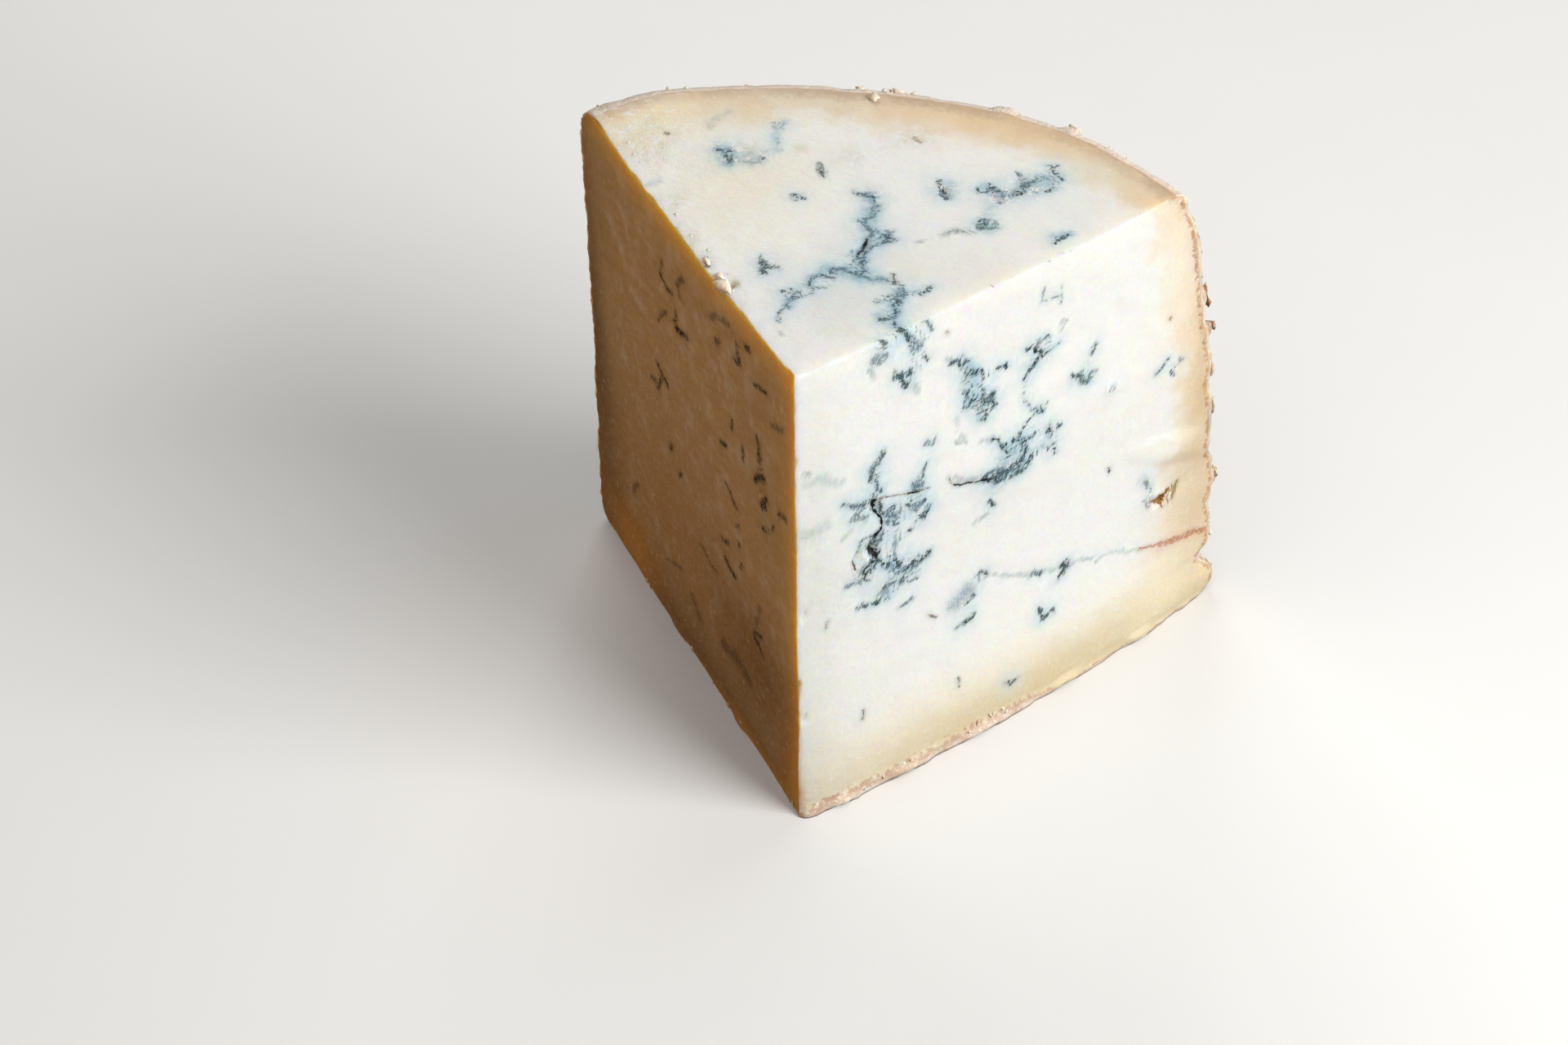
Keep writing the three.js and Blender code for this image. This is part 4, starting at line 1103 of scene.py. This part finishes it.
def add_washes(m, body, drawn, bend):
    """Pale blue halos round the veins, and the thin blue and grey films."""
    halo = m.times(m.attribute("halo"), m.step(m.noise(3.2, 3, 0.6), 0.33, 0.65, 0.45, 1.15), 0.85)
    body = m.mix(halo, body, (206, 227, 231))
    width = m.add(m.times(m.attribute("wash_half"), 0.95), 0.3)
    cloudy = m.step(m.noise(1.3, 4, 0.75, place=drawn), 0.36, 0.6, 0.5, 1.0)
    film = m.fade(vein_distance(m, "wash_", bend), width, 2.6)
    film = m.times(film, m.attribute("wash_strength"), cloudy)
    return m.mix(film, body, m.attribute("wash_tint", "Vector"))


def add_veins(m, body, drawn, bend):
    """The blue-green veins: a core of granular strands with a softer fringe. Returns the core's share too."""
    _, _, small, grain = m.grains
    half, strength, tint = m.attribute("half"), m.attribute("strength"), m.attribute("tint", "Vector")
    distance = vein_distance(m, "", bend)
    across = m.math("DIVIDE", distance, m.add(m.times(half, 0.85), 0.2))
    specks = m.times(m.step(grain, 0.52, 0.64), m.step(half, 0.5, 1.2, 0.2, 0.9))
    spread = m.math("ABSOLUTE", m.less(m.noise(0.62, 3, 0.65, place=drawn), 0.5))
    strand = m.less(1, m.times(spread, 6.5))
    core = m.step(m.less(strand, m.times(across, 0.8)), -0.15, 0.25)
    core = m.times(core, strength, m.less(1, specks))
    fringe = m.fade(distance, m.add(m.times(half, 0.8), 0.55))
    fringe = m.times(fringe, strength, m.step(small, 0.3, 0.65, 0.45, 1.0), 0.58)
    by_blue = m.mix(m.step(m.attribute("halo"), 0.03, 0.2), tint, (112, 156, 170))
    body = m.mix(fringe, body, by_blue)
    speckled = m.mix(m.times(m.step(grain, 0.4, 0.6), 0.2), tint, (96, 140, 148))
    return m.mix(core, body, speckled), core


def add_cracks(m, body):
    """Dark cracks, slits and rusty lines, the fainter ones broken up, each with a soft stain round it."""
    small = m.grains[2]
    half, strength = m.attribute("crack_half"), m.attribute("crack_strength")
    tint = m.attribute("crack_tint", "Vector")
    distance = vein_distance(m, "crack_", m.jitter(1.5, 3, 0.65, 1.3))
    across = m.math("DIVIDE", distance, m.add(m.times(half, m.step(small, 0.3, 0.7, 0.4, 1.3)), 0.08))
    gaps = m.times(m.step(strength, 0.96, 0.92), m.step(m.noise(0.9, 3, 0.7), 0.46, 0.6, 0.0, 0.85))
    split = m.times(m.step(across, 1.25, 0.75), strength, m.less(1, gaps))
    stain = m.times(m.fade(distance, m.add(half, 0.5)), strength, 0.35)
    return m.mix(split, m.mix(stain, body, tint), tint), split


def paste_material():
    """The cut paste with its granular blue-green veins, pale blue halos, cracks and crumbled places."""
    m = Shader("stilton_paste", PASTE_NOISE)
    _, mid, small, grain = m.grains
    drawn = m.stretched(STROKE, 0.6)
    bend = m.vector("ADD", m.jitter(2.4, 2, 0.6, 2.6, drawn), m.jitter(0.6, 2, 0.6, 1.1, drawn))
    body = add_washes(m, paste_colour(m), drawn, bend)
    body, core = add_veins(m, body, drawn, bend)
    body, split = add_cracks(m, body)
    dark = m.math("MAXIMUM", core, split)
    crumbled = m.attribute("crumbled")
    crumbs = m.times(crumbled, m.step(m.noise(2.3, 5, 0.7), 0.53, 0.6), m.less(1, dark), 0.75)
    streaks = m.noise(0.7, 2, 0.5, place=m.stretched(UPWARDS, 0.93))
    fine = m.add(m.times(mid, 0.5), m.times(small, 0.3), m.times(grain, 0.12), m.times(streaks, 0.08))
    fine = m.add(m.less(fine, m.times(dark, 0.4)), m.times(crumbled, m.noise(1.1, 4, 0.7), 0.9))
    m.dress({
        "Base Color": m.mix(crumbs, body, (254, 252, 246)),
        "Roughness": m.step(small, 0.3, 0.7, 0.42, 0.6),
        "Subsurface Weight": m.step(m.height(), 0.5, 7, 0.15, 1.0),
        "Subsurface Radius": (1.0, 0.62, 0.22),
        "Subsurface Scale": 4.8 * MM,
        "Specular IOR Level": 0.45,
        "Normal": m.bump(fine, 0.55),
    })
    return m.material


def rind_material():
    """The crust: dry wrinkled skin, tan to grey brown, with pale pinkish bloom on what stands proud."""
    m = Shader("stilton_rind", RIND_NOISE)
    wide, mid, small, grain = m.grains
    worn = m.attribute("worn")
    bloom = m.step(m.add(m.times(worn, 0.5), m.times(mid, 0.9), m.times(small, 0.45)), 0.66, 0.98)
    sunk = m.add(m.times(worn, 0.8), m.times(small, 0.5))
    margin = m.add(m.height(), m.step(small, 0.3, 0.7, -1.5, 1.5))
    body = m.mix(m.step(mid, 0.35, 0.65), (192, 169, 146), (210, 192, 170))
    body = m.tones(body, (
        (wide, 0.5, 0.68, 0.7, (184, 154, 128)),
        (m.noise(11, 4, 0.6), 0.52, 0.66, 0.6, (200, 164, 126)),
    ))
    body = m.mix(m.times(bloom, 0.85), body, (232, 214, 194))
    body = m.tones(body, (
        (sunk, 0.18, -0.3, 0.8, (128, 92, 64)),
        (grain, 0.6, 0.75, 0.4, (238, 224, 208)),
        (margin, 112, 118, 0.8, (246, 232, 214)),
    ))
    m.dress({
        "Base Color": body,
        "Roughness": m.step(bloom, 0, 1, 0.7, 0.92),
        "Subsurface Weight": 0.35,
        "Subsurface Radius": (1.0, 0.5, 0.25),
        "Subsurface Scale": 1.2 * MM,
        "Specular IOR Level": 0.3,
        "Normal": m.bump(m.add(m.times(mid, 0.9), m.times(small, 0.55), m.times(grain, 0.16)), 1.0),
    })
    return m.material


def crumb_material():
    """Crumbs: cream where they are paste, pinkish brown where they are crust."""
    m = Shader("stilton_crumbs")
    tone = m.attribute("tone")
    small = m.noise(0.7, 4, 0.7)
    by_noise = m.step(small, 0.35, 0.65)
    pale = m.mix(by_noise, (240, 224, 196), (253, 245, 230))
    pink = m.mix(by_noise, (218, 180, 154), (242, 220, 202))
    dark = m.mix(by_noise, (142, 98, 66), (206, 166, 136))
    m.dress({
        "Base Color": m.mix(m.step(tone, 0.6, 1.0), m.mix(m.step(tone, 0.1, 0.5), pale, pink), dark),
        "Roughness": m.step(small, 0.3, 0.7, 0.55, 0.8),
        "Subsurface Weight": 0.7,
        "Subsurface Radius": (1.0, 0.55, 0.3),
        "Subsurface Scale": 0.8 * MM,
        "Normal": m.bump(small, 0.35),
    })
    return m.material


def floor_material():
    m = Shader("floor")
    m.dress({"Base Color": m.mix(m.noise(60, 2), (226, 225, 222), (229, 228, 225)), "Roughness": 0.7})
    return m.material


def make_floor():
    bpy.ops.mesh.primitive_plane_add(size=6)
    floor = bpy.context.object
    floor.name = "floor"
    floor.data.materials.append(floor_material())
    floor.visible_diffuse = False
    floor.visible_glossy = False
    return floor


def aim(thing, place, direction):
    thing.location = place
    thing.rotation_euler = Vector(direction).to_track_quat("-Z", "Y").to_euler()
    bpy.context.scene.collection.objects.link(thing)


def add_area(name, place, target, size, watts, tint, only=None):
    """A rectangular soft light. Where only is given, those objects alone receive its light."""
    data = bpy.data.lights.new(name, "AREA")
    data.shape = "RECTANGLE"
    data.size, data.size_y = size
    data.energy = watts
    data.color = tint
    light = bpy.data.objects.new(name, data)
    aim(light, place, Vector(target) - Vector(place))
    if only is not None:
        receivers = bpy.data.collections.new(name + "_receivers")
        for receiver in only:
            receivers.objects.link(receiver)
        light.light_linking.receiver_collection = receivers


def make_lights(wedge, crumbs, floor):
    add_area("key", (0.98, -0.31, 0.67), (0, 0, 0.06), (0.8, 0.7), 20.0, (0.99, 0.985, 0.985))
    add_area("back", (-0.4, 0.95, 0.66), (0, 0, 0.06), (0.8, 0.6), 6.3, (0.98, 0.99, 1.0))
    add_area("fill", (-0.86, -0.69, 0.2), (0, 0, 0.05), (0.6, 0.4), 3.9, (1.0, 0.665, 0.44), (wedge, crumbs))
    add_area("floor_fill", (-0.3, -0.6, 1.4), (0, 0, 0), (1.5, 1.5), 8, (1.0, 1.0, 1.0), (floor,))
    world = bpy.data.worlds.new("world")
    world.use_nodes = True
    background = world.node_tree.nodes["Background"]
    background.inputs[0].default_value = (1.0, 0.8, 0.55, 1)
    background.inputs[1].default_value = 0.03
    bpy.context.scene.world = world


CAMERA_PLACE = (0.0878, -0.4399, 0.4286)
CAMERA_VIEW = (-0.1749, 0.7283, -0.6626)
CAMERA_LENS = 61.9


def make_camera():
    data = bpy.data.cameras.new("camera")
    data.lens = CAMERA_LENS
    data.sensor_width = 36
    data.clip_start, data.clip_end = 0.01, 20
    camera = bpy.data.objects.new("camera", data)
    aim(camera, CAMERA_PLACE, CAMERA_VIEW)
    bpy.context.scene.camera = camera


def place_piece(piece):
    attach(piece, "root")
    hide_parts("stilton_wedge")


def main():
    bpy.context.scene.view_settings.view_transform = "Standard"
    wedge, skin = build_wedge()
    crumbs = build_crumbs(skin)
    crumbs.data.materials.append(crumb_material())
    place_piece(crumbs)
    wedge.data.materials.append(paste_material())
    wedge.data.materials.append(rind_material())
    place_piece(wedge)
    floor = make_floor()
    make_lights(wedge, crumbs, floor)
    make_camera()


main()
